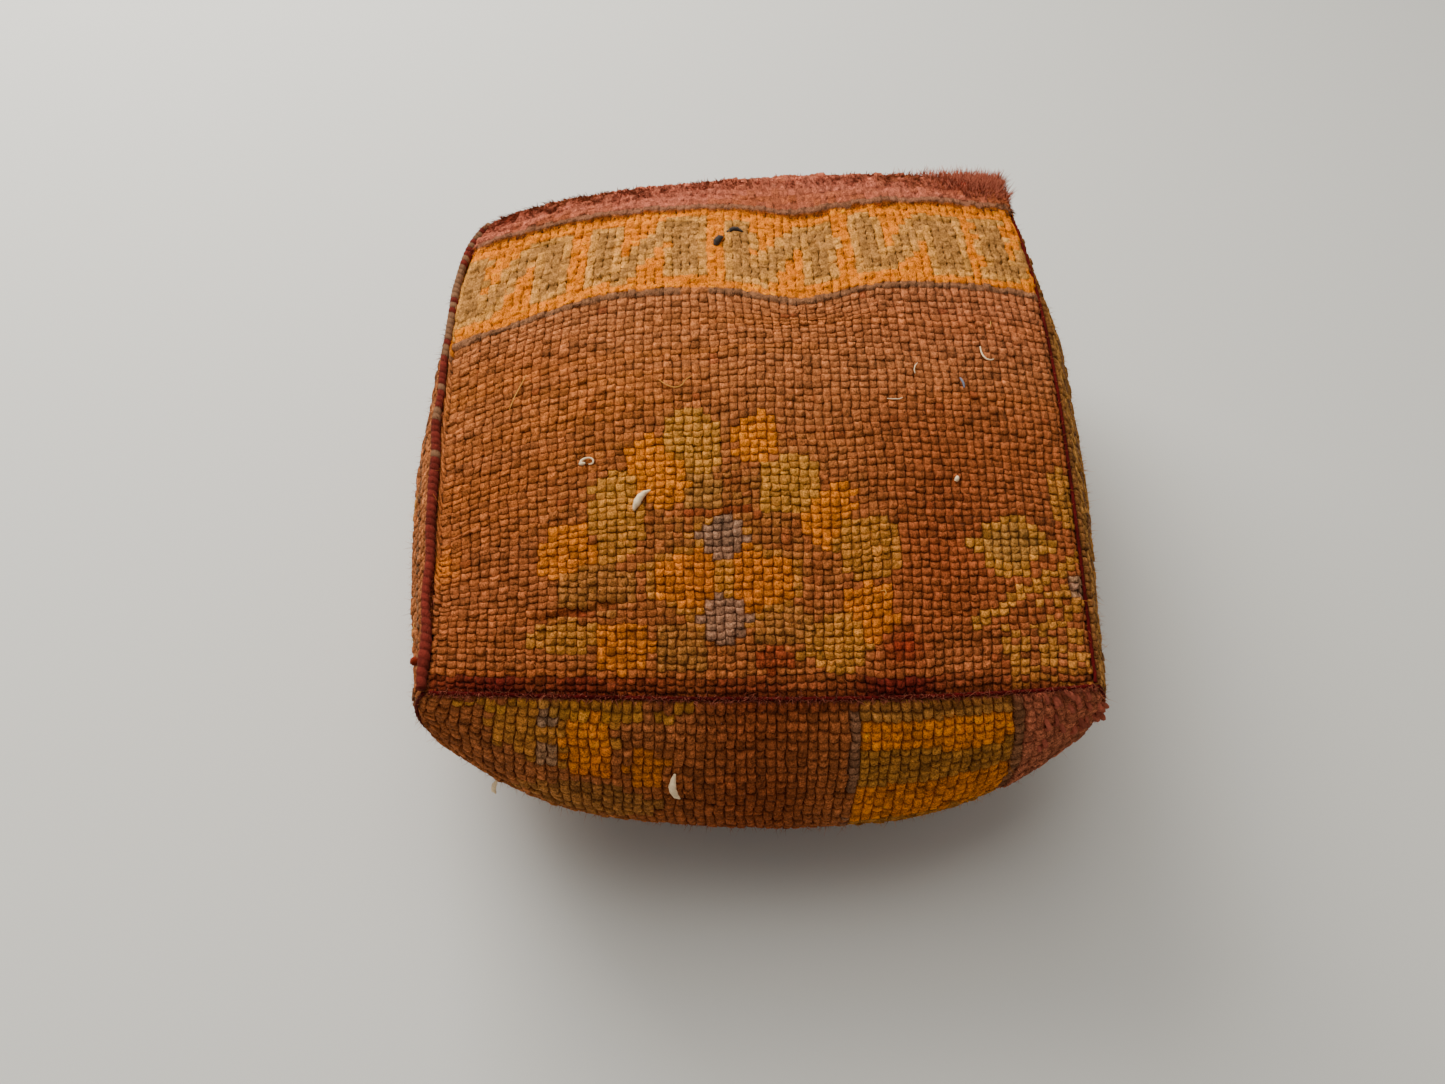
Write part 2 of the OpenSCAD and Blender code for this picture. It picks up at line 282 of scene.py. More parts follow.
def cubeMesh(cells):
    # a closed cube from -1 to 1, with square cells
    bm = bmesh.new()
    bmesh.ops.create_cube(bm, size=2)
    bmesh.ops.subdivide_edges(bm, edges=bm.edges[:], cuts=cells - 1, use_grid_fill=True)
    return bm


def coordinates(bm):
    return np.array([vert.co[:] for vert in bm.verts])


def placeAll(verts, points):
    for vert, point in zip(verts, points.tolist()):
        vert.co = point


def simulateCover(look):
    bm = cubeMesh(look["cells"])
    q = coordinates(bm)
    q = np.round(q * look["cells"] / 2) * 2 / look["cells"]
    start = settled(q) + inward(q) * (look["inset"] * middle(q))[:, None]
    placeAll(bm.verts, start)
    bmesh.ops.recalc_face_normals(bm, faces=bm.faces[:])
    mesh = bpy.data.meshes.new("coverForm")
    bm.to_mesh(mesh)
    bm.free()
    cover = bpy.data.objects.new("coverForm", mesh)
    scene.collection.objects.link(cover)
    moved = start.copy()
    onEdge = (np.abs(q) > 0.999).sum(1) >= 2
    held = onEdge | (q[:, 2] < -0.999)
    group = cover.vertex_groups.new(name="sewn")
    group.add([int(i) for i in np.nonzero(held)[0]], 1.0, "REPLACE")
    cloth = cover.modifiers.new("cloth", "CLOTH")
    setup = cloth.settings
    setup.quality = 5
    setup.mass = 0.4
    setup.tension_stiffness = look["stiffness"]
    setup.compression_stiffness = look["stiffness"]
    setup.shear_stiffness = look["stiffness"] / 2
    setup.bending_stiffness = 2.0
    setup.use_pressure = True
    setup.uniform_pressure_force = look["pressure"]
    setup.effector_weights.gravity = 0
    setup.vertex_group_mass = "sewn"
    cloth.collision_settings.use_collision = False
    scene.frame_start = 1
    scene.frame_end = look["frames"]
    for step in range(1, look["frames"] + 1):
        scene.frame_set(step)
    evaluated = cover.evaluated_get(bpy.context.evaluated_depsgraph_get())
    flat = np.empty(len(q) * 3)
    evaluated.data.vertices.foreach_get("co", flat)
    moved = flat.reshape(-1, 3)
    scene.frame_set(1)
    bpy.data.objects.remove(cover, do_unlink=True)
    change = moved - start
    length = np.linalg.norm(change, axis=1, keepdims=True)
    change *= np.minimum(1, look["cap"] / np.maximum(length, 1e-9))
    print("pouf: cover simulated, greatest move %.1f mm" % (length.max() * 1000))
    n = look["cells"]
    step = np.round((q + 1) * n / 2).astype(int)
    grids = {}
    for name, f in faces.items():
        rows = np.nonzero(np.abs(q[:, f["held"]] - f["side"]) < 1e-6)[0]
        grid = np.zeros((n + 1, n + 1, 3))
        grid[step[rows, f["u"]], step[rows, f["v"]]] = change[rows]
        grids[name] = grid
    return grids


puffGrids = simulateCover(puffing)


def puffAt(face, u, v):
    grid = puffGrids[face]
    n = grid.shape[0] - 1
    x, y = (np.clip(u, -1, 1) + 1) * n / 2, (np.clip(v, -1, 1) + 1) * n / 2
    i, j = np.minimum(x.astype(int), n - 1), np.minimum(y.astype(int), n - 1)
    fx, fy = (x - i)[..., None], (y - j)[..., None]
    low = mix(grid[i, j], grid[i + 1, j], fx)
    high = mix(grid[i, j + 1], grid[i + 1, j + 1], fx)
    return mix(low, high, fy)


lumps = {"size": 0.35, "height": 0.0022, "crease": 0.0034}


def surface(face, u, v):
    # the cover's own surface, puffed and lumpy, without its pile
    q = cubePoint(face, u, v)
    points = settled(q) + inward(q) * (puffing["inset"] * middle(q))[..., None] + puffAt(face, u, v)
    calm = 0 if face == "base" else (1 - u ** 6) * (1 - v ** 6)
    seed = 11 + list(faces).index(face)
    lump = softNoise(u / lumps["size"] + 9, v / lumps["size"] + 9, seed) * lumps["height"] * calm
    if face == "top":   # a fold pressed into the left half, near the front
        along = (u + 0.56) / 0.14
        line = v + 0.765 - 0.18 * (u + 0.56)
        lump = lump - lumps["crease"] * np.exp(-(line / 0.013) ** 2) * np.exp(-along ** 4)
    return points - inward(q) * lump[..., None]


def outward(face, u, v):
    # unit normals, which slant to the shared one near an edge
    e = 1e-3
    f = faces[face]
    du = surface(face, np.clip(u + e, -1, 1), v) - surface(face, np.clip(u - e, -1, 1), v)
    dv = surface(face, u, np.clip(v + e, -1, 1)) - surface(face, u, np.clip(v - e, -1, 1))
    normal = np.cross(du, dv)
    turned = -1 if f["held"] == 1 else 1
    normal *= f["side"] * turned / np.maximum(np.linalg.norm(normal, axis=-1, keepdims=True), 1e-12)
    slanted = -inward(cubePoint(face, u, v))
    slanted /= np.linalg.norm(slanted, axis=-1, keepdims=True)
    edge = np.maximum(abs(u), abs(v))
    weight = eased((edge - 0.90) / 0.09)[..., None]
    mixed = mix(normal, slanted, weight)
    return mixed / np.linalg.norm(mixed, axis=-1, keepdims=True)


dyes = {
    "terracotta": (184, 110, 64),
    "russet": (148, 76, 40),
    "madder": (124, 44, 28),
    "rose": (188, 102, 78),
    "wine": (132, 30, 22),
    "crimson": (92, 24, 24),
    "marigold": (244, 130, 0),
    "amber": (220, 122, 22),
    "sand": (214, 148, 72),
    "straw": (194, 130, 54),
    "khaki": (170, 116, 62),
    "olive": (162, 110, 54),
    "charcoal": (146, 116, 94),
    "soot": (72, 66, 62),
    "clay": (126, 90, 66),
    "ecru": (252, 222, 176),
    "slate": (120, 124, 140),
}


def dyed(*names):
    # linear colours of the named dyes
    return np.array([[(c / 255) ** 2.2 for c in dyes[name]] for name in names])


def warp(a, s):
    # how far a straight row s has been pulled off its line at a
    beyond = np.maximum(0, abs(s - 0.6) - 0.22)
    dip = -0.085 * np.exp(-((a - 0.15) / 0.2) ** 2) * np.exp(-(beyond / 0.15) ** 2)
    fall = np.clip((-0.45 - a) / 0.5, 0, 1.2) ** 1.5
    slump = np.interp(s, [-0.8, -0.6, -0.3, 0, 0.35, 0.82, 1], [0, 0.04, 0.09, 0.10, 0.12, 0.03, 0])
    return dip - fall * slump


def straight(a, b):
    s = b - warp(a, b)
    return b - warp(a, s)


class Dyeing:
    # paints masks of dye over the colours of the knots at (u, v)
    def __init__(self, u, v, ground, seed):
        jitter = np.random.default_rng(seed + 7)
        self.u = u + jitter.uniform(-1, 1, u.shape) * 0.006
        self.v = v + jitter.uniform(-1, 1, u.shape) * 0.005
        self.colour = np.ones(u.shape + (3,)) * dyed(ground)[0]
        self.rng = np.random.default_rng(seed)
        self.ragged = self.rng.uniform(-1, 1, u.shape)

    def paint(self, mask, dye, strength=1.0):
        amount = (mask.astype(float) * strength)[..., None]
        self.colour = mix(self.colour, dyed(dye)[0], amount)

    def wash(self, amount, dye):
        self.colour = mix(self.colour, dyed(dye)[0], np.clip(amount, 0, 1)[..., None])

    def dab(self, u, v, halfU, halfV, dye, turn=0.0, strength=0.9, power=2.4):
        x, y = self.u - u, self.v - v
        c, s = math.cos(math.radians(turn)), math.sin(math.radians(turn))
        x, y = (c * x + s * y) / halfU, (c * y - s * x) / halfV
        inside = abs(x) ** power + abs(y) ** power < 1 + 0.22 * self.ragged
        self.paint(inside, dye, strength * (0.9 + 0.1 * self.ragged))

    def spot(self, u, v, reachU, reachV):
        return np.exp(-((self.u - u) / reachU) ** 2 - ((self.v - v) / reachV) ** 2)


bands = {"lower": 0.405, "upper": 0.82, "period": 0.455, "firstBar": -1.035}


def borderPattern(d, s):
    # the orange band with its row of slanted hooks, in straight rows
    t = (s - bands["lower"]) / (bands["upper"] - bands["lower"])
    p = ((d.u - bands["firstBar"]) / bands["period"]) % 1
    inBand = (t > 0) & (t < 1)
    d.paint(inBand, "marigold")
    hooks = (t > 0.10) & (t < 0.87)
    lean = (t - 0.1) / 0.8
    slope = 0.25 + 0.5 * lean
    left = (p > 0.06) & (p < 0.31)
    rightBar = (p > 0.65) & (p < 0.94)
    slant = (abs(p - slope) < 0.115) & (p > 0.06) & (p < 0.94)
    body = inBand & hooks & (left | rightBar | slant)
    d.paint(body, "sand", 0.92)
    core = ((p > 0.125) & (p < 0.26)) | ((p > 0.71) & (p < 0.88)) | (abs(p - slope) < 0.05)
    core = core & body & (t > 0.17) & (t < 0.80)
    d.paint(core, "khaki", 0.86 + 0.14 * d.ragged)
    rise = inBand & (abs(d.ragged) > 0.8)
    d.paint(rise & ~body, "amber", 0.5)


def topPattern(u, v):
    d = Dyeing(u, v, "terracotta", 21)
    s = straight(u, v)
    drift = softNoise(u * 2.2 + 7, v * 5 + 3, 5)
    streaks = softNoise(u * 1.2 + 2, s * 36, 6)
    d.wash(0.16 + 0.18 * drift + 0.16 * streaks, "russet")
    d.wash(0.13 * eased((0.45 - u) / 1.0) * eased((0.40 - v) / 0.4) * (1 + drift) + 0.14 * streaks, "amber")
    d.wash(0.50 * eased((0.15 - v) / 0.5), "russet")
    d.wash(0.22 * eased(u / 0.8) * eased((v + 0.05) / 0.3), "rose")
    d.paint(d.rng.random(u.shape) < 0.010, "madder", 0.5)
    d.wash(0.52 * eased((u - 0.22) / 0.35) * eased((0.02 - v) / 0.22) * eased((v + 0.98) / 0.2), "russet")
    d.wash(0.42 * d.spot(0.50, -0.60, 0.22, 0.28), "madder")
    d.wash(0.35 * d.spot(-0.7, 0.12, 0.22, 0.12), "russet")
    d.wash(0.50 * d.spot(-0.12, -0.55, 0.5, 0.35), "russet")
    d.wash((0.42 + 0.3 * d.ragged) * d.spot(-0.12, -0.55, 0.45, 0.40), "olive")
    for a, b, halfA, halfB, dye, turn in medallion:
        d.dab(a, b, halfA, halfB, dye, turn)
    x, y = u + 0.12, v + 0.675
    step = np.maximum(0, abs(y) - 0.045) / 0.085
    d.paint((abs(x) / 0.245 + step * 0.80 < 1) & (abs(y) < 0.135), "straw", 0.75)
    d.paint((abs(x) / 0.205 + step < 1) & (abs(y) < 0.115), "amber", 1)
    d.wash(0.35 * d.spot(-0.12, -0.675, 0.2, 0.12), "russet")
    d.paint((abs(x) < 0.030) & (abs(y) < 0.075), "straw", 0.75)
    for b, halfA, halfB in ((-0.545, 0.076, 0.066), (-0.785, 0.080, 0.070)):
        d.paint(abs(x) / (halfA + 0.03) + abs(v - b) / (halfB + 0.02) < 1, "straw", 0.6)
        d.paint((abs(x) / halfA) ** 1.5 + (abs(v - b) / halfB) ** 1.5 < 1, "charcoal", 0.92)
    d.paint((abs(v + 0.470) < 0.012) & (abs(x) < 0.11), "madder", 0.6)
    d.wash(0.32 * eased((-0.35 - v) / 0.3) * eased((0.5 - u) / 0.1), "russet")
    d.paint(abs(u - 0.765) / 0.145 + abs(v + 0.585) / 0.115 < 1 + 0.1 * d.ragged, "straw", 0.8)
    d.paint(abs(u - 0.765) / 0.10 + abs(v + 0.585) / 0.08 < 1, "olive", 0.85)
    climb = v + 0.80 - 0.55 * (u - 0.66)
    d.paint((abs(climb) < 0.020) & (u > 0.62), "straw", 0.7)
    d.paint((climb < -0.05) & (u > 0.72) & (d.ragged > -0.2), "straw", 0.6)
    d.dab(0.96, -0.42, 0.05, 0.10, "straw", 0, 0.7)
    d.paint((u > 0.93) & (abs(v + 0.71) < 0.04), "charcoal", 0.7)
    d.wash(0.5 * d.spot(-0.97, -0.60, 0.05, 0.05), "marigold")
    d.wash(0.8 * d.spot(0.41, -0.87, 0.06, 0.04), "wine")
    # painted shade: madder washed along the line of the pressed fold, darkening the crease
    fold = v + 0.765 - 0.18 * (u + 0.56)
    d.wash(0.8 * np.exp(-(fold / 0.012) ** 2) * np.exp(-((u + 0.54) / 0.12) ** 4), "madder")
    d.wash((0.70 + 0.28 * softNoise(u * 9, v * 3, 12)) * eased((-0.925 - v) / 0.03), "crimson")
    borderPattern(d, s)
    line = abs(s - bands["lower"] + 0.010) < 0.0125
    d.paint(line, "clay", 0.8)
    pile = s > bands["upper"]
    d.paint(pile, "rose")
    d.wash(pile * (0.25 + 0.5 * softNoise(u * 3 + 4, v * 12, 8) + 0.2 * d.ragged), "russet")
    d.paint(abs(s - bands["upper"] - 0.012) < 0.0125, "clay", 0.75)
    d.wash(0.9 * d.spot(0.83, 0.95, 0.07, 0.045) * pile, "wine")
    d.wash(0.85 * d.spot(-0.90, 0.95, 0.08, 0.05) * pile, "madder")
    matted = np.where(pile, 1.0, 0.04 + 0.94 * ((s > bands["lower"] - 0.025) & ~pile))
    return d.colour, pile, matted


# petals round the middle: centre, half sizes, dye, turn in degrees
medallion = [
    (-0.205, -0.235, 0.085, 0.115, "straw", 0),
    (-0.20, -0.40, 0.09, 0.06, "olive", 0),
    (-0.01, -0.225, 0.078, 0.085, "amber", 0),
    (-0.315, -0.34, 0.075, 0.13, "amber", 28),
    (0.09, -0.385, 0.10, 0.10, "straw", 0),
    (-0.44, -0.47, 0.078, 0.15, "straw", 0),
    (0.205, -0.48, 0.062, 0.105, "amber", -28),
    (-0.585, -0.585, 0.085, 0.09, "amber", 0),
    (0.32, -0.59, 0.10, 0.095, "straw", 0),
    (-0.50, -0.70, 0.105, 0.08, "olive", 0),
    (0.31, -0.775, 0.085, 0.08, "amber", 0),
    (-0.60, -0.83, 0.095, 0.05, "straw", 0),
    (-0.42, -0.86, 0.085, 0.07, "amber", 0),
    (-0.25, -0.865, 0.08, 0.065, "olive", 0),
    (0.20, -0.855, 0.10, 0.075, "straw", 0),
    (0.02, -0.89, 0.06, 0.035, "madder", 0),
    (0.06, -0.80, 0.09, 0.06, "olive", 0),
]


def frontPattern(u, v):
    d = Dyeing(u, v, "terracotta", 22)
    drift = softNoise(u * 3 + 3, v * 3 + 9, 15)
    d.wash(0.42 + 0.25 * drift, "russet")
    d.wash(0.4 * eased((u + 0.35) / 0.3) * eased((0.3 - u) / 0.3), "madder")
    d.dab(-0.63, 0.80, 0.20, 0.26, "straw", 0, 0.6, 1.6)
    d.dab(-0.52, 0.25, 0.22, 0.20, "olive", 0, 0.7, 1.6)
    d.dab(-0.52, 0.72, 0.07, 0.24, "marigold", 0, 0.7)
    d.dab(-0.35, 0.58, 0.06, 0.14, "amber", 0, 0.7)
    d.dab(-0.63, 0.92, 0.04, 0.09, "charcoal", 0, 0.8, 1.2)
    d.dab(-0.64, 0.62, 0.035, 0.13, "charcoal", 0, 0.7, 1.2)
    d.dab(-0.20, -0.40, 0.18, 0.22, "olive", 0, 0.6, 1.4)
    stripe = (u > 0.275) & (u < 0.72)
    d.paint(stripe, "amber")
    bars = ((0.88, 1.1, "khaki"), (0.45, 0.70, "olive"), (-0.30, 0.08, "olive"), (-0.9, -0.6, "khaki"))
    for low, high, dye in bars:
        d.paint(stripe & (v > low) & (v < high), dye, 0.85)
    d.paint(abs(u - 0.27) < 0.013, "clay", 0.85)
    d.paint(abs(u - 0.735) < 0.016, "clay", 0.7)
    edge = u > 0.75
    d.paint(edge, "rose")
    d.wash(0.3 * edge, "terracotta")
    d.wash(edge * eased((0.75 - v) / 0.4) * 0.15, "clay")
    # painted shade: the lower part of the front is washed darker with russet
    d.wash(0.35 * eased((-0.15 - v) / 0.6) * ~edge, "russet")
    d.wash(0.45 * eased((-0.25 - u) / 0.4) * eased((0.35 - v) / 0.5), "olive")
    # painted shade: the lower part of the stripe is washed darker with russet
    d.wash(0.34 * stripe * eased((-0.15 - v) / 0.3), "russet")
    d.paint((v > 0.90) & (u > -0.9) & (u < -0.2) & (d.ragged > -0.5), "straw", 0.8)
    d.wash(0.5 * eased((v - 0.95) / 0.04), "crimson")
    return d.colour, edge, 0.3 * edge


def leftPattern(u, v):
    # u runs from front to back here: sand lozenges and rows of clay on terracotta
    d = Dyeing(u, v, "terracotta", 23)
    drift = softNoise(u * 3 + 3, v * 3 + 9, 16)
    d.wash(0.35 + 0.3 * drift, "russet")
    for k in range(4):
        at = -0.72 + 0.48 * k
        d.paint(abs(u - at) / 0.17 + abs(v) / 0.62 < 1 + 0.08 * d.ragged, "sand", 0.8)
        d.paint(abs(u - at) / 0.11 + abs(v) / 0.40 < 1, "amber" if k % 2 else "olive", 0.9)
        d.paint(abs(u - at) / 0.04 + abs(v) / 0.14 < 1, "charcoal", 0.85)
    d.paint((abs(abs(v) - 0.74) < 0.035), "clay", 0.8)
    d.paint((abs(v) > 0.80) & (v < 0), "marigold", 0.75)
    d.wash(0.5 * eased((v - 0.93) / 0.05), "crimson")
    return d.colour, v > 2, 0 * v


def rightPattern(u, v):
    d = Dyeing(u, v, "khaki", 24)
    drift = softNoise(u * 3 + 3, v * 3 + 9, 17)
    d.wash(0.35 + 0.3 * drift, "sand")
    p = ((u + 1) / 0.40) % 1
    zig = abs(p - 0.5) * 2
    d.paint(abs(v - 0.15 - 0.5 * (zig - 0.5)) < 0.16, "amber", 0.85)
    d.paint(abs(v + 0.30 - 0.5 * (zig - 0.5)) < 0.10, "madder", 0.7)
    d.paint(abs(v - 0.80) < 0.035, "clay", 0.85)
    d.paint(abs(v + 0.78) < 0.035, "clay", 0.85)
    d.paint(v < -0.82, "terracotta", 0.9)
    d.wash(0.5 * eased((v - 0.93) / 0.05), "crimson")
    return d.colour, v > 2, 0 * v


def backPattern(u, v):
    d = Dyeing(u, v, "terracotta", 25)
    drift = softNoise(u * 3 + 3, v * 3 + 9, 18)
    d.wash(0.30 + 0.3 * drift, "russet")
    pile = v > 0.62
    d.paint(pile, "rose")
    d.wash(pile * (0.25 + 0.4 * softNoise(u * 3 + 4, v * 6, 9) + 0.2 * d.ragged), "russet")
    d.paint(abs(v - 0.60) < 0.035, "clay", 0.8)
    band = (v < 0.56) & (v > 0.12)
    d.paint(band, "marigold")
    p = ((u + 1.1) / 0.30) % 1
    d.paint(band & (abs(p - 0.5) < 0.30) & (abs(v - 0.34) < 0.16), "sand", 0.8)
    d.paint(band & (abs(p - 0.5) < 0.15) & (abs(v - 0.34) < 0.10), "khaki", 0.8)
    d.paint(abs(v - 0.09) < 0.035, "charcoal", 0.7)
    return d.colour, pile, np.where(pile, 1.0, 0.5 * band)


patterns = {
    "top": topPattern,
    "front": frontPattern,
    "left": leftPattern,
    "right": rightPattern,
    "back": backPattern,
}


def node(tree, kind, **settings):
    made = tree.nodes.new(kind)
    for name, value in settings.items():
        setattr(made, name, value)
    return made


def maths(tree, operation, *values):
    # a Math node, fed with numbers or other nodes' outputs
    made = node(tree, "ShaderNodeMath", operation=operation)
    for socket, value in zip(made.inputs, values):
        if isinstance(value, float):
            socket.default_value = value
        else:
            tree.links.new(value, socket)
    return made.outputs[0]


def fibreGrain():
    # wool fibres: fine noise crossed with drawn-out noise
    tree = bpy.data.node_groups.new("fibreGrain", "ShaderNodeTree")
    for name, start in (("Scale", 900.0), ("Contrast", 0.35)):
        socket = tree.interface.new_socket(name, in_out="INPUT", socket_type="NodeSocketFloat")
        socket.default_value = start
    tree.interface.new_socket("Height", in_out="OUTPUT", socket_type="NodeSocketFloat")
    tree.interface.new_socket("Shade", in_out="OUTPUT", socket_type="NodeSocketFloat")
    source = node(tree, "NodeGroupInput")
    sink = node(tree, "NodeGroupOutput")
    place = node(tree, "ShaderNodeTexCoord")
    drawn = node(tree, "ShaderNodeMapping")
    drawn.inputs["Scale"].default_value = (1.0, 0.45, 1.0)
    drawn.inputs["Rotation"].default_value = (0.2, 0.3, 0.5)
    tree.links.new(place.outputs["Object"], drawn.inputs["Vector"])
    fine = node(tree, "ShaderNodeTexNoise")
    fine.inputs["Detail"].default_value = 3
    strands = node(tree, "ShaderNodeTexNoise")
    strands.inputs["Detail"].default_value = 2
    strands.inputs["Distortion"].default_value = 1.2
    tree.links.new(place.outputs["Object"], fine.inputs["Vector"])
    tree.links.new(drawn.outputs["Vector"], strands.inputs["Vector"])
    tree.links.new(source.outputs["Scale"], fine.inputs["Scale"])
    tree.links.new(maths(tree, "MULTIPLY", source.outputs["Scale"], 0.42), strands.inputs["Scale"])
    both = maths(tree, "ADD", fine.outputs["Fac"], strands.outputs["Fac"])
    tree.links.new(both, sink.inputs["Height"])
    less = maths(tree, "SUBTRACT", both, 1.0)
    shade = maths(tree, "MULTIPLY_ADD", less, source.outputs["Contrast"], 1.0)
    tree.links.new(shade, sink.inputs["Shade"])
    return tree


def plainWeave():
    # over-and-under threads on the object's own x and y
    tree = bpy.data.node_groups.new("plainWeave", "ShaderNodeTree")
    socket = tree.interface.new_socket("Threads", in_out="INPUT", socket_type="NodeSocketFloat")
    socket.default_value = 900.0
    tree.interface.new_socket("Height", in_out="OUTPUT", socket_type="NodeSocketFloat")
    source = node(tree, "NodeGroupInput")
    sink = node(tree, "NodeGroupOutput")
    place = node(tree, "ShaderNodeTexCoord")
    axes = node(tree, "ShaderNodeSeparateXYZ")
    tree.links.new(place.outputs["Object"], axes.inputs[0])
    waves = []
    for axis in (0, 1):
        turn = maths(tree, "MULTIPLY", axes.outputs[axis], source.outputs["Threads"])
        waves.append(maths(tree, "SINE", turn))
    tree.links.new(maths(tree, "MULTIPLY", *waves), sink.inputs["Height"])
    return tree


def useGroup(tree, group, **values):
    made = node(tree, "ShaderNodeGroup", node_tree=group)
    for name, value in values.items():
        made.inputs[name].default_value = value
    return made


def bump(tree, shader, height, strength, distance):
    made = node(tree, "ShaderNodeBump")
    made.inputs["Strength"].default_value = strength
    made.inputs["Distance"].default_value = distance
    tree.links.new(height, made.inputs["Height"])
    tree.links.new(made.outputs["Normal"], shader.inputs["Normal"])


def blended(tree, low, high, amount):
    made = node(tree, "ShaderNodeMix", data_type="RGBA")
    for socket, value in ((made.inputs[6], low), (made.inputs[7], high)):
        if isinstance(value, tuple):
            socket.default_value = (*value, 1)
        else:
            tree.links.new(value, socket)
    tree.links.new(amount, made.inputs[0])
    return made.outputs[2]


grain = fibreGrain()
weave = plainWeave()


def newMaterial(name):
    made = bpy.data.materials.new(name)
    made.use_nodes = True
    tree = made.node_tree
    return made, tree, tree.nodes["Principled BSDF"]


def woolMaterial(name, scale, contrast, depth, sheen):
    made, tree, shader = newMaterial(name)
    yarn = node(tree, "ShaderNodeAttribute", attribute_name="yarn")
    fibres = useGroup(tree, grain, Scale=scale, Contrast=contrast)
    shaded = node(tree, "ShaderNodeVectorMath", operation="SCALE")
    tree.links.new(yarn.outputs["Color"], shaded.inputs[0])
    tree.links.new(fibres.outputs["Shade"], shaded.inputs["Scale"])
    tree.links.new(shaded.outputs[0], shader.inputs["Base Color"])
    bump(tree, shader, fibres.outputs["Height"], 0.9, depth)
    shader.inputs["Roughness"].default_value = 0.95
    shader.inputs["Specular IOR Level"].default_value = 0.04
    shader.inputs["Sheen Weight"].default_value = sheen
    shader.inputs["Sheen Roughness"].default_value = 0.45
    shader.inputs["Sheen Tint"].default_value = (1.0, 0.62, 0.35, 1)
    return made


def clothMaterial(name, light, dark, threads, sheen=0.1):
    made, tree, shader = newMaterial(name)
    woven = useGroup(tree, weave, Threads=threads)
    soil = node(tree, "ShaderNodeTexNoise")
    soil.inputs["Scale"].default_value = 14
    soil.inputs["Detail"].default_value = 6
    place = node(tree, "ShaderNodeTexCoord")
    tree.links.new(place.outputs["Object"], soil.inputs["Vector"])
    wearAndShadeBreaks = blended(tree, light, dark, soil.outputs["Fac"])
    # painted shade: the low points of the weave get a darker colour, 0.7 of the dark colour, standing in for
    # the shade between threads
    fold = node(tree, "ShaderNodeMapRange")
    fold.inputs["From Min"].default_value = -1
    fold.inputs["To Min"].default_value = 0.45
    tree.links.new(woven.outputs["Height"], fold.inputs["Value"])
    weaveHollowShade = tuple(c * 0.7 for c in dark)
    tree.links.new(blended(tree, weaveHollowShade, wearAndShadeBreaks, fold.outputs["Result"]), shader.inputs["Base Color"])
    bump(tree, shader, woven.outputs["Height"], 0.6, 0.0003)
    shader.inputs["Roughness"].default_value = 0.9
    shader.inputs["Sheen Weight"].default_value = sheen
    return made


def metalMaterial(name, bright, tarnished):
    made, tree, shader = newMaterial(name)
    wear = useGroup(tree, grain, Scale=220.0, Contrast=1.6)
    tree.links.new(blended(tree, tarnished, bright, wear.outputs["Shade"]), shader.inputs["Base Color"])
    rough = node(tree, "ShaderNodeMapRange")
    rough.inputs["To Min"].default_value = 0.5
    rough.inputs["To Max"].default_value = 0.28
    tree.links.new(wear.outputs["Shade"], rough.inputs["Value"])
    tree.links.new(rough.outputs["Result"], shader.inputs["Roughness"])
    bump(tree, shader, wear.outputs["Height"], 0.15, 0.0001)
    shader.inputs["Metallic"].default_value = 1.0
    return made


wool = woolMaterial("knottedWool", 1250.0, 2.1, 0.0012, 0.06)
looseWool = woolMaterial("looseWool", 1400.0, 0.30, 0.0003, 0.10)
ropeWool = woolMaterial("wrappedWool", 900.0, 0.90, 0.0005, 0.06)
rugBack = clothMaterial("rugBacking", (0.30, 0.16, 0.09), (0.16, 0.07, 0.04), 1500.0)
canvas = clothMaterial("canvas", (0.60, 0.50, 0.36), (0.40, 0.31, 0.20), 2600.0)
tapeCloth = clothMaterial("zipTape", (0.16, 0.10, 0.07), (0.10, 0.06, 0.045), 4200.0)
coilPlastic = metalMaterial("zipCoil", (0.16, 0.12, 0.09), (0.08, 0.06, 0.05))
coilPlastic.node_tree.nodes["Principled BSDF"].inputs["Metallic"].default_value = 0.0
brass = metalMaterial("zipBrass", (0.72, 0.56, 0.28), (0.36, 0.26, 0.12))
liningCotton = clothMaterial("liningCotton", (0.78, 0.76, 0.70), (0.66, 0.63, 0.56), 3600.0)
wadding = clothMaterial("wadding", (0.82, 0.82, 0.80), (0.66, 0.66, 0.64), 700.0, 0.4)
stitching = clothMaterial("stitching", (0.45, 0.33, 0.20), (0.33, 0.23, 0.14), 5200.0)
print("pouf: materials")


def showPiece(mesh, name, material):
    # every new piece is part of the cover or lies in it
    mesh.shade_smooth()
    mesh.materials.append(material)
    piece = bpy.data.objects.new(name, mesh)
    scene.collection.objects.link(piece)
    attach(piece, "cover")
    return piece


def finishPiece(bm, name, material):
    bmesh.ops.recalc_face_normals(bm, faces=bm.faces[:])
    mesh = bpy.data.meshes.new(name)
    bm.to_mesh(mesh)
    bm.free()
    return showPiece(mesh, name, material)


# the colours written here hold the yarn colours and also painted shade put in by the callers: pile grooves
# and pits, gaps between selvedge wraps, fibre roots
def dye(piece, colours):
    flat = np.ones((len(piece.data.vertices), 4), np.float32)
    flat[:, :3] = colours
    layer = piece.data.color_attributes.new("yarn", "FLOAT_COLOR", "POINT")
    layer.data.foreach_set("color", flat.ravel())


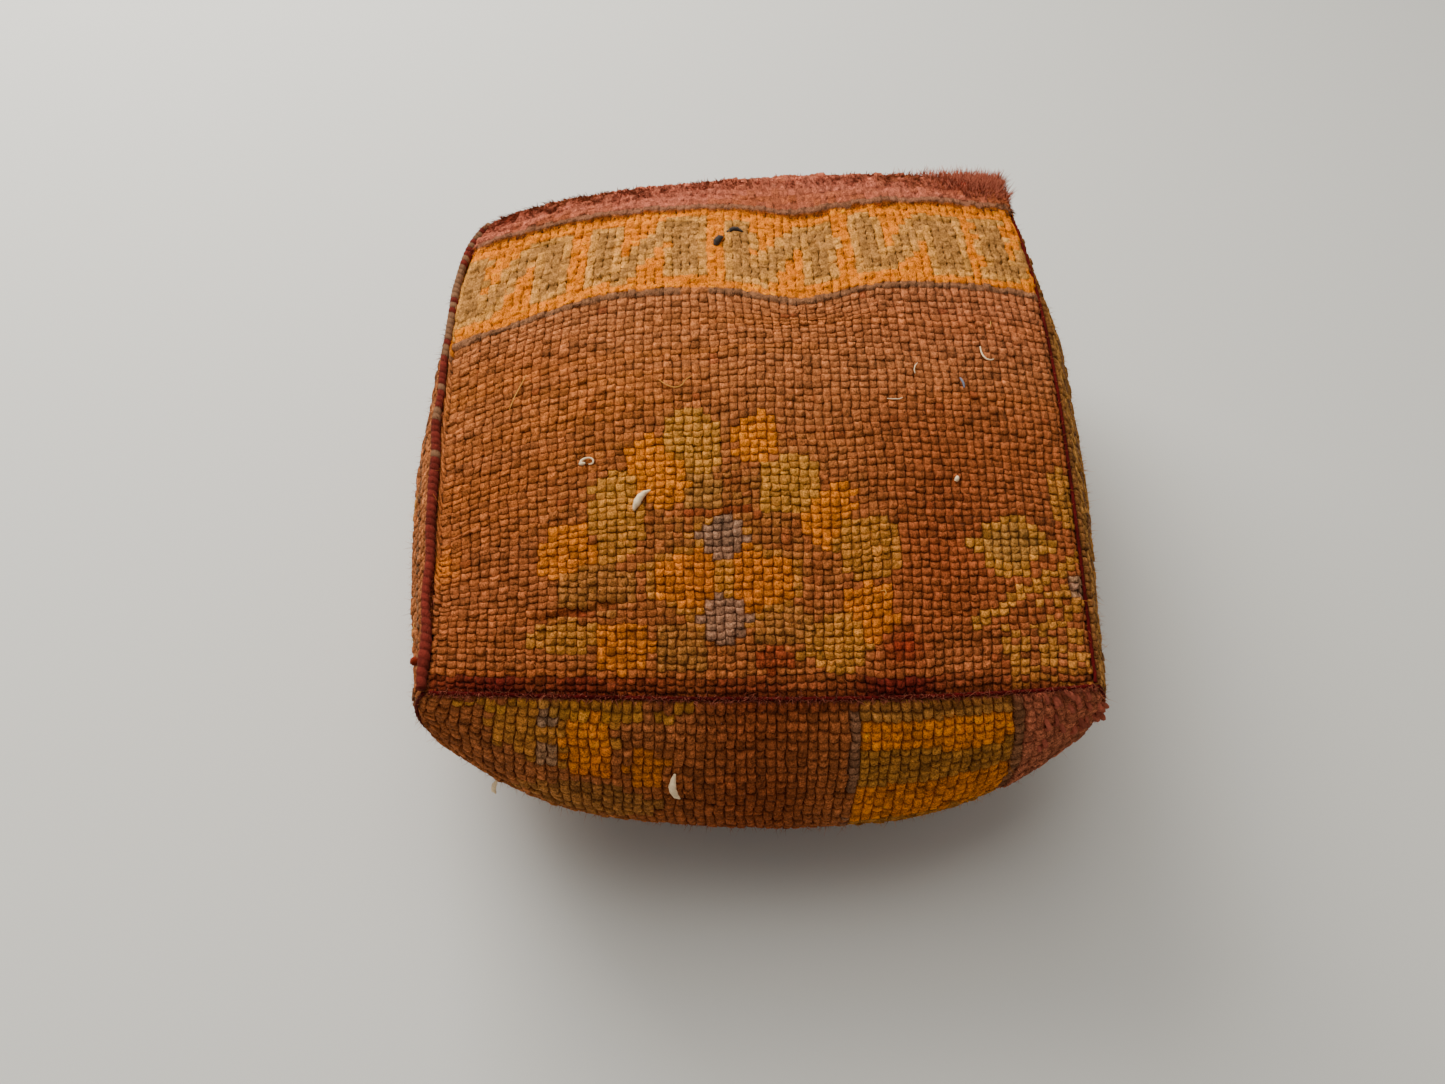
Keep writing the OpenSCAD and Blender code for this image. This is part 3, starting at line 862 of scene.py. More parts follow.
def boxGrid(columns, rows, inner=1, patches=1):
    # closed slabs: x and y from 0 to 1, z is 1 outside and 0 inside, where the grid is coarser.
    # each further slab is 2 along x from the last
    bm = bmesh.new()
    for patch in range(patches):
        for level, coarse in ((1.0, 1), (0.0, inner)):
            place = Matrix.Translation((0.5 + 2 * patch, 0.5, level))
            bmesh.ops.create_grid(
                bm, x_segments=columns // coarse, y_segments=rows // coarse, size=0.5, matrix=place
            )
        bmesh.ops.bridge_loops(bm, edges=[edge for edge in bm.edges if edge.is_boundary])
    return bm


def splitKnots(count, fractions, position):
    # which knot a fine line lies in, and how far into it
    steps = len(fractions)
    index = np.round(position * count * steps).astype(int)
    return index // steps, index % steps


knotwork = {
    "fractions": (0.0, 0.14, 0.5, 0.86),
    "profile": (0.0, 0.93, 1.0, 0.93),
    "columnGroove": 0.0015,
    "rowGroove": 0.0011,
    "pileDepth": 0.0055,
    "raggedness": 0.00045,
    "lineWander": 0.15,
    "rowWander": 0.17,
    "openRows": 0.11,
    "columnWander": 0.10,
    "bow": 0.20,
    # gapShade: painted shade in the grooves between knots, partly the deeper red of the knots' sides
    "gapShade": (0.13, 0.035, 0.02),
    "seamDrop": 0.0032,
}


def lattice(face, columns, rows, seed):
    # where the lines between knots cross, on the cube face; rows open out towards the back of the top
    rng = np.random.default_rng(seed)
    u, s = np.meshgrid(np.linspace(-1, 1, columns + 1), np.linspace(-1, 1, rows + 1), indexing="ij")
    if face == "top":
        s = s - knotwork["openRows"] * (1 - s * s)
    wander = knotwork["lineWander"]
    inner = (abs(u) < 0.999) & (abs(s) < 0.999)
    drift = softNoise(u * 4 + 5, s * 6 + 5, seed) * 0.006
    u = u + inner * (rng.uniform(-1, 1, u.shape) * wander / columns * 1.2 + drift)
    drift = softNoise(u * 5 + 5, s * 4 + 5, seed + 1) * 0.012
    v = s + inner * (rng.uniform(-1, 1, u.shape) * wander / rows * 1.2 + drift)
    if face == "top":
        v = v + inner * warp(u, s)
    return u, np.clip(v, -1, 1)


def knottedPile(face, rug, name, longPile):
    k = knotwork
    columns, rows, seed = rug["columns"], rug["rows"], rug["seed"]
    fractions, profile = np.array(k["fractions"]), np.array(k["profile"])
    steps = len(fractions)
    bm = boxGrid(columns * steps, rows * steps, 2 * steps)
    grid = coordinates(bm)
    outer = grid[:, 2] > 0.5
    i, ki = splitKnots(columns, fractions, grid[:, 0])
    j, kj = splitKnots(rows, fractions, grid[:, 1])
    i, j = np.minimum(i, columns), np.minimum(j, rows)
    latticeU, latticeV = lattice(face, columns, rows, seed)
    nextI, nextJ = np.minimum(i + 1, columns), np.minimum(j + 1, rows)
    fi, fj = fractions[ki], fractions[kj]
    weights = [(1 - fi) * (1 - fj), fi * (1 - fj), fi * fj, (1 - fi) * fj]
    cornersAt = [(i, j), (nextI, j), (nextI, nextJ), (i, nextJ)]
    u = sum(w * latticeU[at] for w, at in zip(weights, cornersAt))
    v = sum(w * latticeV[at] for w, at in zip(weights, cornersAt))
    rng = np.random.default_rng(seed + 50)
    midU = (latticeU[:-1, :-1] + latticeU[1:, 1:]) / 2
    midV = (latticeV[:-1, :-1] + latticeV[1:, 1:]) / 2
    colour, shaggy, matted = patterns[face](midU, midV)
    shaggy = shaggy.astype(float) * longPile
    tone = 1 + 0.15 * (1 - 0.5 * matted) * rng.standard_normal(midU.shape)
    tone = tone + 0.05 * rng.standard_normal((1, rows))
    colour = colour * np.clip(tone, 0.6, 1.4)[..., None]
    rise = rng.standard_normal(midU.shape) * k["raggedness"] * (1 + 0.3 * shaggy)
    rise = rise + shaggy * 0.0022 + matted * 0.0006
    rowShift = rng.uniform(-1, 1, (columns + 1, rows + 1)) * k["rowWander"] * 2 / rows
    columnShift = rng.uniform(-1, 1, (columns + 1, rows + 1)) * k["columnWander"] * 2 / columns
    rowShift[:, [0, -1]] = 0
    columnShift[[0, -1]] = 0
    slant = rng.uniform(-1, 1, midU.shape + (2,)) * 0.10 + np.array(rug["lean"]) * (1 + shaggy[..., None])
    # values of the knot a vertex belongs to; on a groove, the mean of those beside it
    knotI, knotJ = np.minimum(i, columns - 1), np.minimum(j, rows - 1)
    lastI = np.where(ki == 0, np.maximum(knotI - 1, 0), knotI)
    lastJ = np.where(kj == 0, np.maximum(knotJ - 1, 0), knotJ)

    def mean(values):
        near = values[knotI, knotJ] + values[lastI, knotJ]
        return (near + values[knotI, lastJ] + values[lastI, lastJ]) / 4

    crownI, crownJ = profile[ki], profile[kj]
    felted = mean(matted)
    chosen = rng.random((columns + 1, rows + 1)) < 0.6
    dots = (ki == 0) & (kj != 2) & chosen[i, np.minimum(j + (kj == steps - 1), rows)] & (mean(shaggy) < 0.1)
    u = u + (kj > 0) * mix(columnShift[i, j], columnShift[nextI, j], fi)
    v = v + (ki > 0) * mix(rowShift[i, j], rowShift[i, nextJ], fj)
    v = v - (abs(v) < 0.999) * k["bow"] * 4 * fi * (1 - fi) * 2 / rows
    groove = k["columnGroove"] * (1 - crownI) + k["rowGroove"] * (1 - crownJ)
    height = mean(rise) - groove * (1 - 0.80 * felted)
    height += rng.uniform(-1, 1, len(grid)) * 0.00028 * (1 + mean(shaggy)) - dots * felted * 0.0016
    shiftUV = mean(slant) * (crownI * crownJ)[:, None]
    u = np.clip(u + shiftUV[:, 0] * 2 / columns * (abs(u) < 0.999), -1, 1)
    v = np.clip(v + shiftUV[:, 1] * 2 / rows * (abs(v) < 0.999), -1, 1)
    edge = np.maximum(abs(u), abs(v))
    nearSeam = eased((edge - 0.972) / 0.028)
    height = height - nearSeam * k["seamDrop"]
    base = surface(face, u, v)
    up = outward(face, u, v)
    q = cubePoint(face, u, v)
    low = base + inward(q) * k["pileDepth"]
    points = np.where(outer[:, None], base + up * height[:, None], low)
    placeAll(bm.verts, points)
    piece = finishPiece(bm, name, wool)
    # painted shade: groove vertices are darkened towards gapShade, weakened at random at each vertex so the
    # lines break up, and less where the pile is matted; the dots at knot corners are sunk and darkened more,
    # painted shade in the pits
    gap = np.where(outer, np.minimum(crownI, crownJ), 0)
    gapShade = np.array(k["gapShade"])
    wearAndShadeBreaks = rng.uniform(0.0, 0.30, len(grid))
    shade = mix(gapShade[None, :], np.ones((1, 3)), np.clip(gap / 0.8 + wearAndShadeBreaks, 0, 1)[:, None])
    shade = mix(shade, np.ones(3), (0.92 * felted * ~dots)[:, None])
    shade = shade * (1 - 0.6 * dots * felted)[:, None]
    speckle = 1 + 0.18 * rng.standard_normal(len(grid))
    dye(piece, np.clip(mean(colour) * shade * speckle[:, None], 0.002, 1))
    return piece, colour


def layerSheet(patches, columns, rows, outer, inner, name, material):
    # plain cloth under the cover; each patch is a face with its ranges of u and v, and each
    # depth is (from the sides, from above or below)
    bm = boxGrid(columns, rows, patches=len(patches))
    grid = coordinates(bm)
    which = (grid[:, 0] // 2).astype(int)
    points = np.empty_like(grid)
    for index, (face, uRange, vRange) in enumerate(patches):
        own = which == index
        x, y, level = grid[own, 0] - 2 * index, grid[own, 1], grid[own, 2]
        u, v = mix(*uRange, x), mix(*vRange, y)
        near, far = (np.array([[side, side, cap]]) for side, cap in (outer, inner))
        depth = mix(far, near, level[:, None])
        points[own] = surface(face, u, v) + inward(cubePoint(face, u, v)) * depth
    placeAll(bm.verts, points)
    return finishPiece(bm, name, material)


rugs = {
    # knots across and up, seed, lean of the pile, and the cut: its two widths and its height
    "top": {"columns": 68, "rows": 78, "seed": 31, "lean": (0.0, -0.06), "cut": (0.455, 0.405, 0.46)},
    "front": {"columns": 66, "rows": 36, "seed": 32, "lean": (0.06, -0.22), "cut": (0.40, 0.33, 0.19)},
    "right": {"columns": 78, "rows": 34, "seed": 33, "lean": (0.0, -0.2), "cut": (0.49, 0.40, 0.175)},
    "back": {"columns": 70, "rows": 34, "seed": 34, "lean": (0.0, -0.2), "cut": (0.455, 0.33, 0.17)},
    "left": {"columns": 72, "rows": 34, "seed": 35, "lean": (0.0, -0.2), "cut": (0.435, 0.40, 0.175)},
}
backing = {"outer": (0.0050, 0.0050), "inner": (0.0080, 0.0080), "columns": 40, "rows": 24}
whole = (-1, 1)

knotDyes = {}
loose = {face: [] for face in rugs}   # the pieces that lie on each rug
for face, rug in rugs.items():
    longPile = 1.0 if face in ("top", "back") else 0.4
    pile, knotDyes[face] = knottedPile(face, rug, face + "Pile", longPile)
    cloth = layerSheet(
        [(face, whole, whole)], backing["columns"], backing["rows"] * (2 if face == "top" else 1),
        backing["outer"], backing["inner"], face + "Backing", rugBack,
    )
    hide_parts(face + "_panel")
    rug["pile"], rug["backing"] = pile, cloth
    print("pouf: rug", face, len(pile.data.vertices), "vertices")


def isUpright(edge):
    low, high = edge.verts
    return abs(low.co.z - high.co.z) > 0.5


def addTube(bm, path, radius, sides=8, lobes=0, lobeDepth=0.0, turns=0.0):
    # a closed tube along a path, whose section may have lobes that turn as it runs
    path = np.asarray(path, float)
    rings = len(path)
    start = len(bm.verts)
    bmesh.ops.create_cone(bm, cap_ends=True, cap_tris=False, segments=sides, radius1=1, radius2=1, depth=1)
    bm.verts.ensure_lookup_table()
    fresh = bm.verts[start:]
    uprights = {edge for vert in fresh for edge in vert.link_edges if isUpright(edge)}
    if rings > 2:
        bmesh.ops.subdivide_edges(bm, edges=list(uprights), cuts=rings - 2)
        bm.verts.ensure_lookup_table()
        fresh = bm.verts[start:]
    tangent = unit(np.gradient(path, axis=0))
    guide = np.eye(3)[np.argmin(abs(tangent).max(0))]
    across = unit(np.cross(tangent, guide))
    other = np.cross(tangent, across)
    radius = np.broadcast_to(np.asarray(radius, float), (rings,))
    co = np.array([vert.co[:] for vert in fresh])
    k = np.round((co[:, 2] + 0.5) * (rings - 1)).astype(int)
    angle = np.arctan2(co[:, 1], co[:, 0])
    r = radius[k]
    if lobes:
        twist = turns * 2 * math.pi * k / (rings - 1)
        r = r * (1 - lobeDepth + lobeDepth * abs(np.cos(lobes / 2 * (angle - twist))))
    points = path[k] + (r * np.cos(angle))[:, None] * across[k] + (r * np.sin(angle))[:, None] * other[k]
    placeAll(fresh, points)
    return k


def edgePath(start, end, count, out, offset):
    # points along an edge of the cover, moved out from it
    t = np.linspace(0, 1, count)[:, None]
    q = mix(np.array(start, float), np.array(end, float), t)
    return settled(q) + offset * unit(np.array(out, float))


threads = {
    "radius": 0.0014,
    "twistEvery": 0.007,
    "depth": -0.0026,      # how far a thread stands out from its edge: less than 0 is sunk into it
    "hemDepth": -0.0006,   # the same, round the underside
    "reach": 0.985,
}
reach = threads["reach"]
seams = {
    "top_seam_front": ([-reach, -1, 1], [reach, -1, 1], [0, -1, 1], "crimson"),
    "top_seam_right": ([1, -reach, 1], [1, reach, 1], [1, 0, 1], "crimson"),
    "top_seam_back": ([-reach, 1, 1], [reach, 1, 1], [0, 1, 1], "crimson"),
    "corner_seam_front_left": ([-1, -1, -0.9], [-1, -1, 0.95], [-1, -0.7, -0.3], "crimson"),
    "corner_seam_front_right": ([1, -1, -0.9], [1, -1, 0.95], [1, -0.7, -0.3], "crimson"),
    "corner_seam_back_right": ([1, 1, -0.9], [1, 1, 0.95], [1, 0.7, -0.3], "crimson"),
    "corner_seam_back_left": ([-1, 1, -0.9], [-1, 1, 0.95], [-1, 0.7, -0.3], "crimson"),
}
baseSeams = {
    "base_seam_front": ([-reach, -1, -1], [reach, -1, -1], [0, -0.5, -0.87]),
    "base_seam_right": ([1, -reach, -1], [1, reach, -1], [0.62, 0, -0.78]),
    "base_seam_back": ([-reach, 1, -1], [reach, 1, -1], [0, 0.6, -0.8]),
    "base_seam_left": ([-1, -reach, -1], [-1, reach, -1], [-0.62, 0, -0.78]),
}


def camel(name):
    first, *rest = name.split("_")
    return first + "".join(word.title() for word in rest)


def threadPiece(name, start, end, out, material, depth, dyeName=None):
    path = edgePath(start, end, 90, out, depth)
    length = np.linalg.norm(np.diff(path, axis=0), axis=1).sum()
    rings = int(length / threads["twistEvery"] * 6)
    path = edgePath(start, end, rings, out, depth)
    bm = bmesh.new()
    k = addTube(bm, path, threads["radius"], 8, 2, 0.45, length / threads["twistEvery"] / 2)
    piece = finishPiece(bm, camel(name), material)
    if dyeName:
        tone = 0.75 + 0.25 * softNoise(k / 14.0, k * 0 + 3.0, 44)
        dye(piece, dyed(dyeName) * tone[:, None])
    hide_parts(name)
    return piece


for name, (start, end, out, colour) in seams.items():
    threadPiece(name, start, end, out, ropeWool, threads["depth"], colour)
for name, (start, end, out) in baseSeams.items():
    threadPiece(name, start, end, out, stitching, threads["hemDepth"])

selvedge = {"radius": 0.0032, "wrapEvery": 0.0052, "offset": -0.0002, "perWrap": 8}


def makeSelvedge(look):
    start, end, out = [-1, 0.985, 1], [-1, -0.985, 1], [-0.45, 0, 1]
    length = np.linalg.norm(np.diff(edgePath(start, end, 90, out, 0), axis=0), axis=1).sum()
    wraps = int(length / look["wrapEvery"])
    rings = wraps * look["perWrap"] + 1
    path = edgePath(start, end, rings, out, look["offset"])
    run = np.arange(rings) / look["perWrap"]
    thick = look["radius"] * (1 + 0.16 * softNoise(run / 6, run * 0 + 1, 61))
    path[:, 0] += 0.0016 * softNoise(run / 5, run * 0 + 2, 63)
    bm = bmesh.new()
    k = addTube(bm, path, thick, 12, 1, 0.22, 0)
    piece = finishPiece(bm, "leftSelvedge", ropeWool)
    flat = np.array([vert.co[:] for vert in piece.data.vertices])
    centre = path[k]
    spoke = flat - centre
    angle = np.arctan2(spoke[:, 2], spoke[:, 0])
    phase = (k / look["perWrap"] + angle / (2 * math.pi)) % 1
    rib = 0.80 + 0.20 * np.sqrt(np.abs(np.sin(math.pi * phase)))
    flat = centre + unit(spoke) * (thick[k] * rib)[:, None]
    piece.data.vertices.foreach_set("co", flat.ravel())
    wrap = np.floor(k / look["perWrap"] + angle / (2 * math.pi)).astype(int)
    rng = np.random.default_rng(62)
    pick = rng.random(wraps + 4)
    front = np.linspace(0, 1, wraps + 4)
    plain = mix(dyed("crimson"), dyed("rose"), 0.12)[0]
    tan = dyed("clay")[0]
    colours = np.where((pick < mix(0.75, 0.10, eased((front - 0.2) / 0.4)))[:, None], tan, plain)
    colours = colours * (1 + 0.15 * rng.standard_normal(wraps + 4))[:, None]
    shade = 0.45 + 0.55 * np.sqrt(np.abs(np.sin(math.pi * phase)))
    dye(piece, np.clip(colours[wrap % (wraps + 4)] * shade[:, None], 0, 1))
    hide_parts("left_selvedge")


makeSelvedge(selvedge)
print("pouf: seams and selvedge")


fibre = {"sides": 3, "rings": 2, "swell": 0.9}


def fibreShape(look):
    # a tapering closed fibre from z 0 to 1
    bm = bmesh.new()
    bmesh.ops.create_cone(
        bm, cap_ends=True, cap_tris=True, segments=look["sides"], radius1=1, radius2=0, depth=1,
        matrix=Matrix.Translation((0, 0, 0.5)),
    )
    sloping = [edge for edge in bm.edges if isUpright(edge)]
    bmesh.ops.subdivide_edges(bm, edges=sloping, cuts=look["rings"] - 1)
    bmesh.ops.remove_doubles(bm, verts=bm.verts[:], dist=1e-5)
    bmesh.ops.triangulate(bm, faces=bm.faces[:])
    bmesh.ops.recalc_face_normals(bm, faces=bm.faces[:])
    bm.verts.index_update()
    verts = coordinates(bm)
    cells = np.array([[vert.index for vert in face.verts] for face in bm.faces])
    bm.free()
    verts[:, :2] *= 1 + look["swell"] * verts[:, 2:] * (1 - verts[:, 2:])
    return verts, cells


def sow(name, roots, aim, bend, radius, length, colours):
    # many closed fibres in one piece, each from a root, along its aim, and bending over
    shape, cells = fibreShape(fibre)
    count, each = len(roots), len(shape)
    aim = unit(aim)
    across = unit(np.cross(aim, np.array([0.31, 0.83, 0.46])))
    other = np.cross(aim, across)
    x, y, z = shape[None, :, 0, None], shape[None, :, 1, None], shape[None, :, 2, None]
    radius = np.broadcast_to(radius, count)[:, None, None]
    length = np.broadcast_to(length, count)[:, None, None]
    points = (roots[:, None] + radius * (x * across[:, None] + y * other[:, None])
              + length * (z * aim[:, None] + z * z * bend[:, None]))
    allCells = (cells[None] + (np.arange(count) * each)[:, None, None]).reshape(-1, 3)
    mesh = bpy.data.meshes.new(name)
    mesh.from_pydata(points.reshape(-1, 3).tolist(), [], allCells.tolist())
    piece = showPiece(mesh, name, looseWool)
    # painted shade: each fibre is darker at its root among the pile and lighter towards its tip, partly the
    # deeper colour at the base of the yarn
    rootShadedColours = colours[:, None] * (0.62 + 0.45 * shape[None, :, 2, None])
    dye(piece, np.clip(rootShadedColours.reshape(-1, 3), 0, 1))
    return piece


def knotColour(face, u, v):
    colour = knotDyes[face]
    columns, rows = colour.shape[:2]
    i = np.clip(((u + 1) / 2 * columns).astype(int), 0, columns - 1)
    s = straight(u, v) if face == "top" else v
    if face == "top":
        k = knotwork["openRows"]
        s = (np.sqrt(np.maximum(1 + 4 * k * (s + k), 0)) - 1) / (2 * k)
    j = np.clip(((s + 1) / 2 * rows).astype(int), 0, rows - 1)
    return colour[i, j]


def tangents(face, u, v):
    e = 2e-3
    du = unit(surface(face, np.clip(u + e, -1, 1), v) - surface(face, np.clip(u - e, -1, 1), v))
    dv = unit(surface(face, u, np.clip(v + e, -1, 1)) - surface(face, u, np.clip(v - e, -1, 1)))
    return du, dv


shag = {
    "top": {"count": 16000, "length": 0.0075, "radius": 0.00052, "seed": 71},
    "back": {"count": 9000, "length": 0.0075, "radius": 0.00052, "seed": 72},
    "front": {"count": 1500, "length": 0.0050, "radius": 0.0006, "seed": 73},
}
fuzz = {
    "top": {"count": 9000, "length": 0.0042, "radius": 0.00017, "seed": 81},
    "front": {"count": 4000, "length": 0.0042, "radius": 0.00017, "seed": 82},
    "right": {"count": 4000, "length": 0.0042, "radius": 0.00017, "seed": 83},
    "back": {"count": 4000, "length": 0.0042, "radius": 0.00017, "seed": 84},
    "left": {"count": 4000, "length": 0.0042, "radius": 0.00017, "seed": 85},
}


def shaggyPlaces(face, count, rng):
    if face == "top":
        u = rng.uniform(-1, 1, count)
        s = rng.uniform(bands["upper"] - 0.005, 1.0, count)
        return u, np.clip(s + warp(u, s), -1, 1)
    if face == "back":
        return rng.uniform(-1, 1, count), rng.uniform(0.60, 1.0, count)
    return rng.uniform(0.78, 1, count), rng.uniform(-0.9, 1.0, count)


for face, look in shag.items():
    rng = np.random.default_rng(look["seed"])
    u, v = shaggyPlaces(face, look["count"], rng)
    up = outward(face, u, v)
    du, dv = tangents(face, u, v)
    roots = surface(face, u, v) - up * 0.0022
    clump = softNoise(u * 40, v * 40, look["seed"] + 1)[:, None]
    aim = up * 0.85 - dv * (0.55 + 0.25 * clump) + du * (0.25 * softNoise(u * 22, v * 30, 5)[:, None])
    aim += rng.standard_normal(aim.shape) * 0.16
    bend = -up * 0.30 - dv * 0.30
    length = look["length"] * rng.uniform(0.65, 1.15, look["count"]) * (1 + 0.5 * (v > 0.93))
    colours = knotColour(face, u, v) * (1 + 0.16 * rng.standard_normal(look["count"]))[:, None]
    radius = look["radius"] * rng.uniform(0.7, 1.3, look["count"])
    piece = sow(face + "Shag", roots, aim, bend, radius, length, colours)
    loose[face].append(piece)

for face, look in fuzz.items():
    rng = np.random.default_rng(look["seed"])
    u, v = rng.uniform(-0.995, 0.995, (2, look["count"]))
    up = outward(face, u, v)
    du, dv = tangents(face, u, v)
    roots = surface(face, u, v) - up * 0.0012
    aim = up + rng.uniform(-1.2, 1.2, (look["count"], 1)) * du
    aim = aim + rng.uniform(-1.4, 0.8, (look["count"], 1)) * dv
    bend = rng.standard_normal(aim.shape) * 0.35
    length = look["length"] * rng.uniform(0.5, 1.4, look["count"])
    colours = knotColour(face, u, v) * (1.25 + 0.25 * rng.standard_normal(look["count"]))[:, None]
    piece = sow(face + "Fuzz", roots, aim, bend, look["radius"], length, colours)
    loose[face].append(piece)

seamFuzz = {"count": 2200, "length": 0.0040, "radius": 0.00028, "spread": 0.0022, "seed": 88}


def makeSeamFuzz(look):
    # red fibres rubbed up along the front edge and the selvedge
    rng = np.random.default_rng(look["seed"])
    along = rng.uniform(-0.985, 0.985, look["count"])
    one = np.ones(look["count"])
    left = rng.random(look["count"]) < 0.4
    q = np.where(left[:, None], np.stack([-one, along, one], -1), np.stack([along, -one, one], -1))
    out = np.where(left[:, None], [[-0.7, 0, 0.7]], [[0, -0.7, 0.7]])
    roots = settled(q) - 0.0015 * out + rng.uniform(-1, 1, q.shape) * look["spread"] * [1, 1, 0.3]
    aim = out + rng.standard_normal(q.shape) * 0.6
    colours = mix(dyed("crimson"), dyed("rose"), rng.random((look["count"], 1)) ** 2)
    length = look["length"] * rng.uniform(0.5, 1.3, look["count"])
    bend = rng.standard_normal(q.shape) * 0.4
    piece = sow("seamFuzz", roots, aim, bend, look["radius"], length, colours)
    loose["front"].append(piece)


makeSeamFuzz(seamFuzz)

cornerTuft = {"count": 2600, "length": 0.0125, "radius": 0.00055, "width": 0.10, "seed": 89}


def makeCornerTuft(look):
    # longer pile that stands up round the top of the back right corner
    rng = np.random.default_rng(look["seed"])
    spread = abs(rng.standard_normal((look["count"], 2))) * look["width"]
    u, v = np.clip(1 - spread[:, 0] * 1.5, 0.55, 0.995), np.clip(1 - spread[:, 1] * 0.6, 0.86, 0.995)
    up, dv = outward("top", u, v), tangents("top", u, v)[1]
    aim = up + 0.25 * dv + rng.standard_normal(up.shape) * 0.22
    bend = rng.standard_normal(up.shape) * 0.2 - 0.15 * up
    colours = mix(dyed("rose"), dyed("crimson"), 0.05 + 0.6 * rng.random((look["count"], 1)) ** 2)
    length = look["length"] * rng.uniform(0.6, 1.1, look["count"])
    roots = surface("top", u, v) - up * 0.002
    piece = sow("cornerTuft", roots, aim, bend, look["radius"], length, colours)
    loose["top"].append(piece)


makeCornerTuft(cornerTuft)
print("pouf: shag and fuzz")

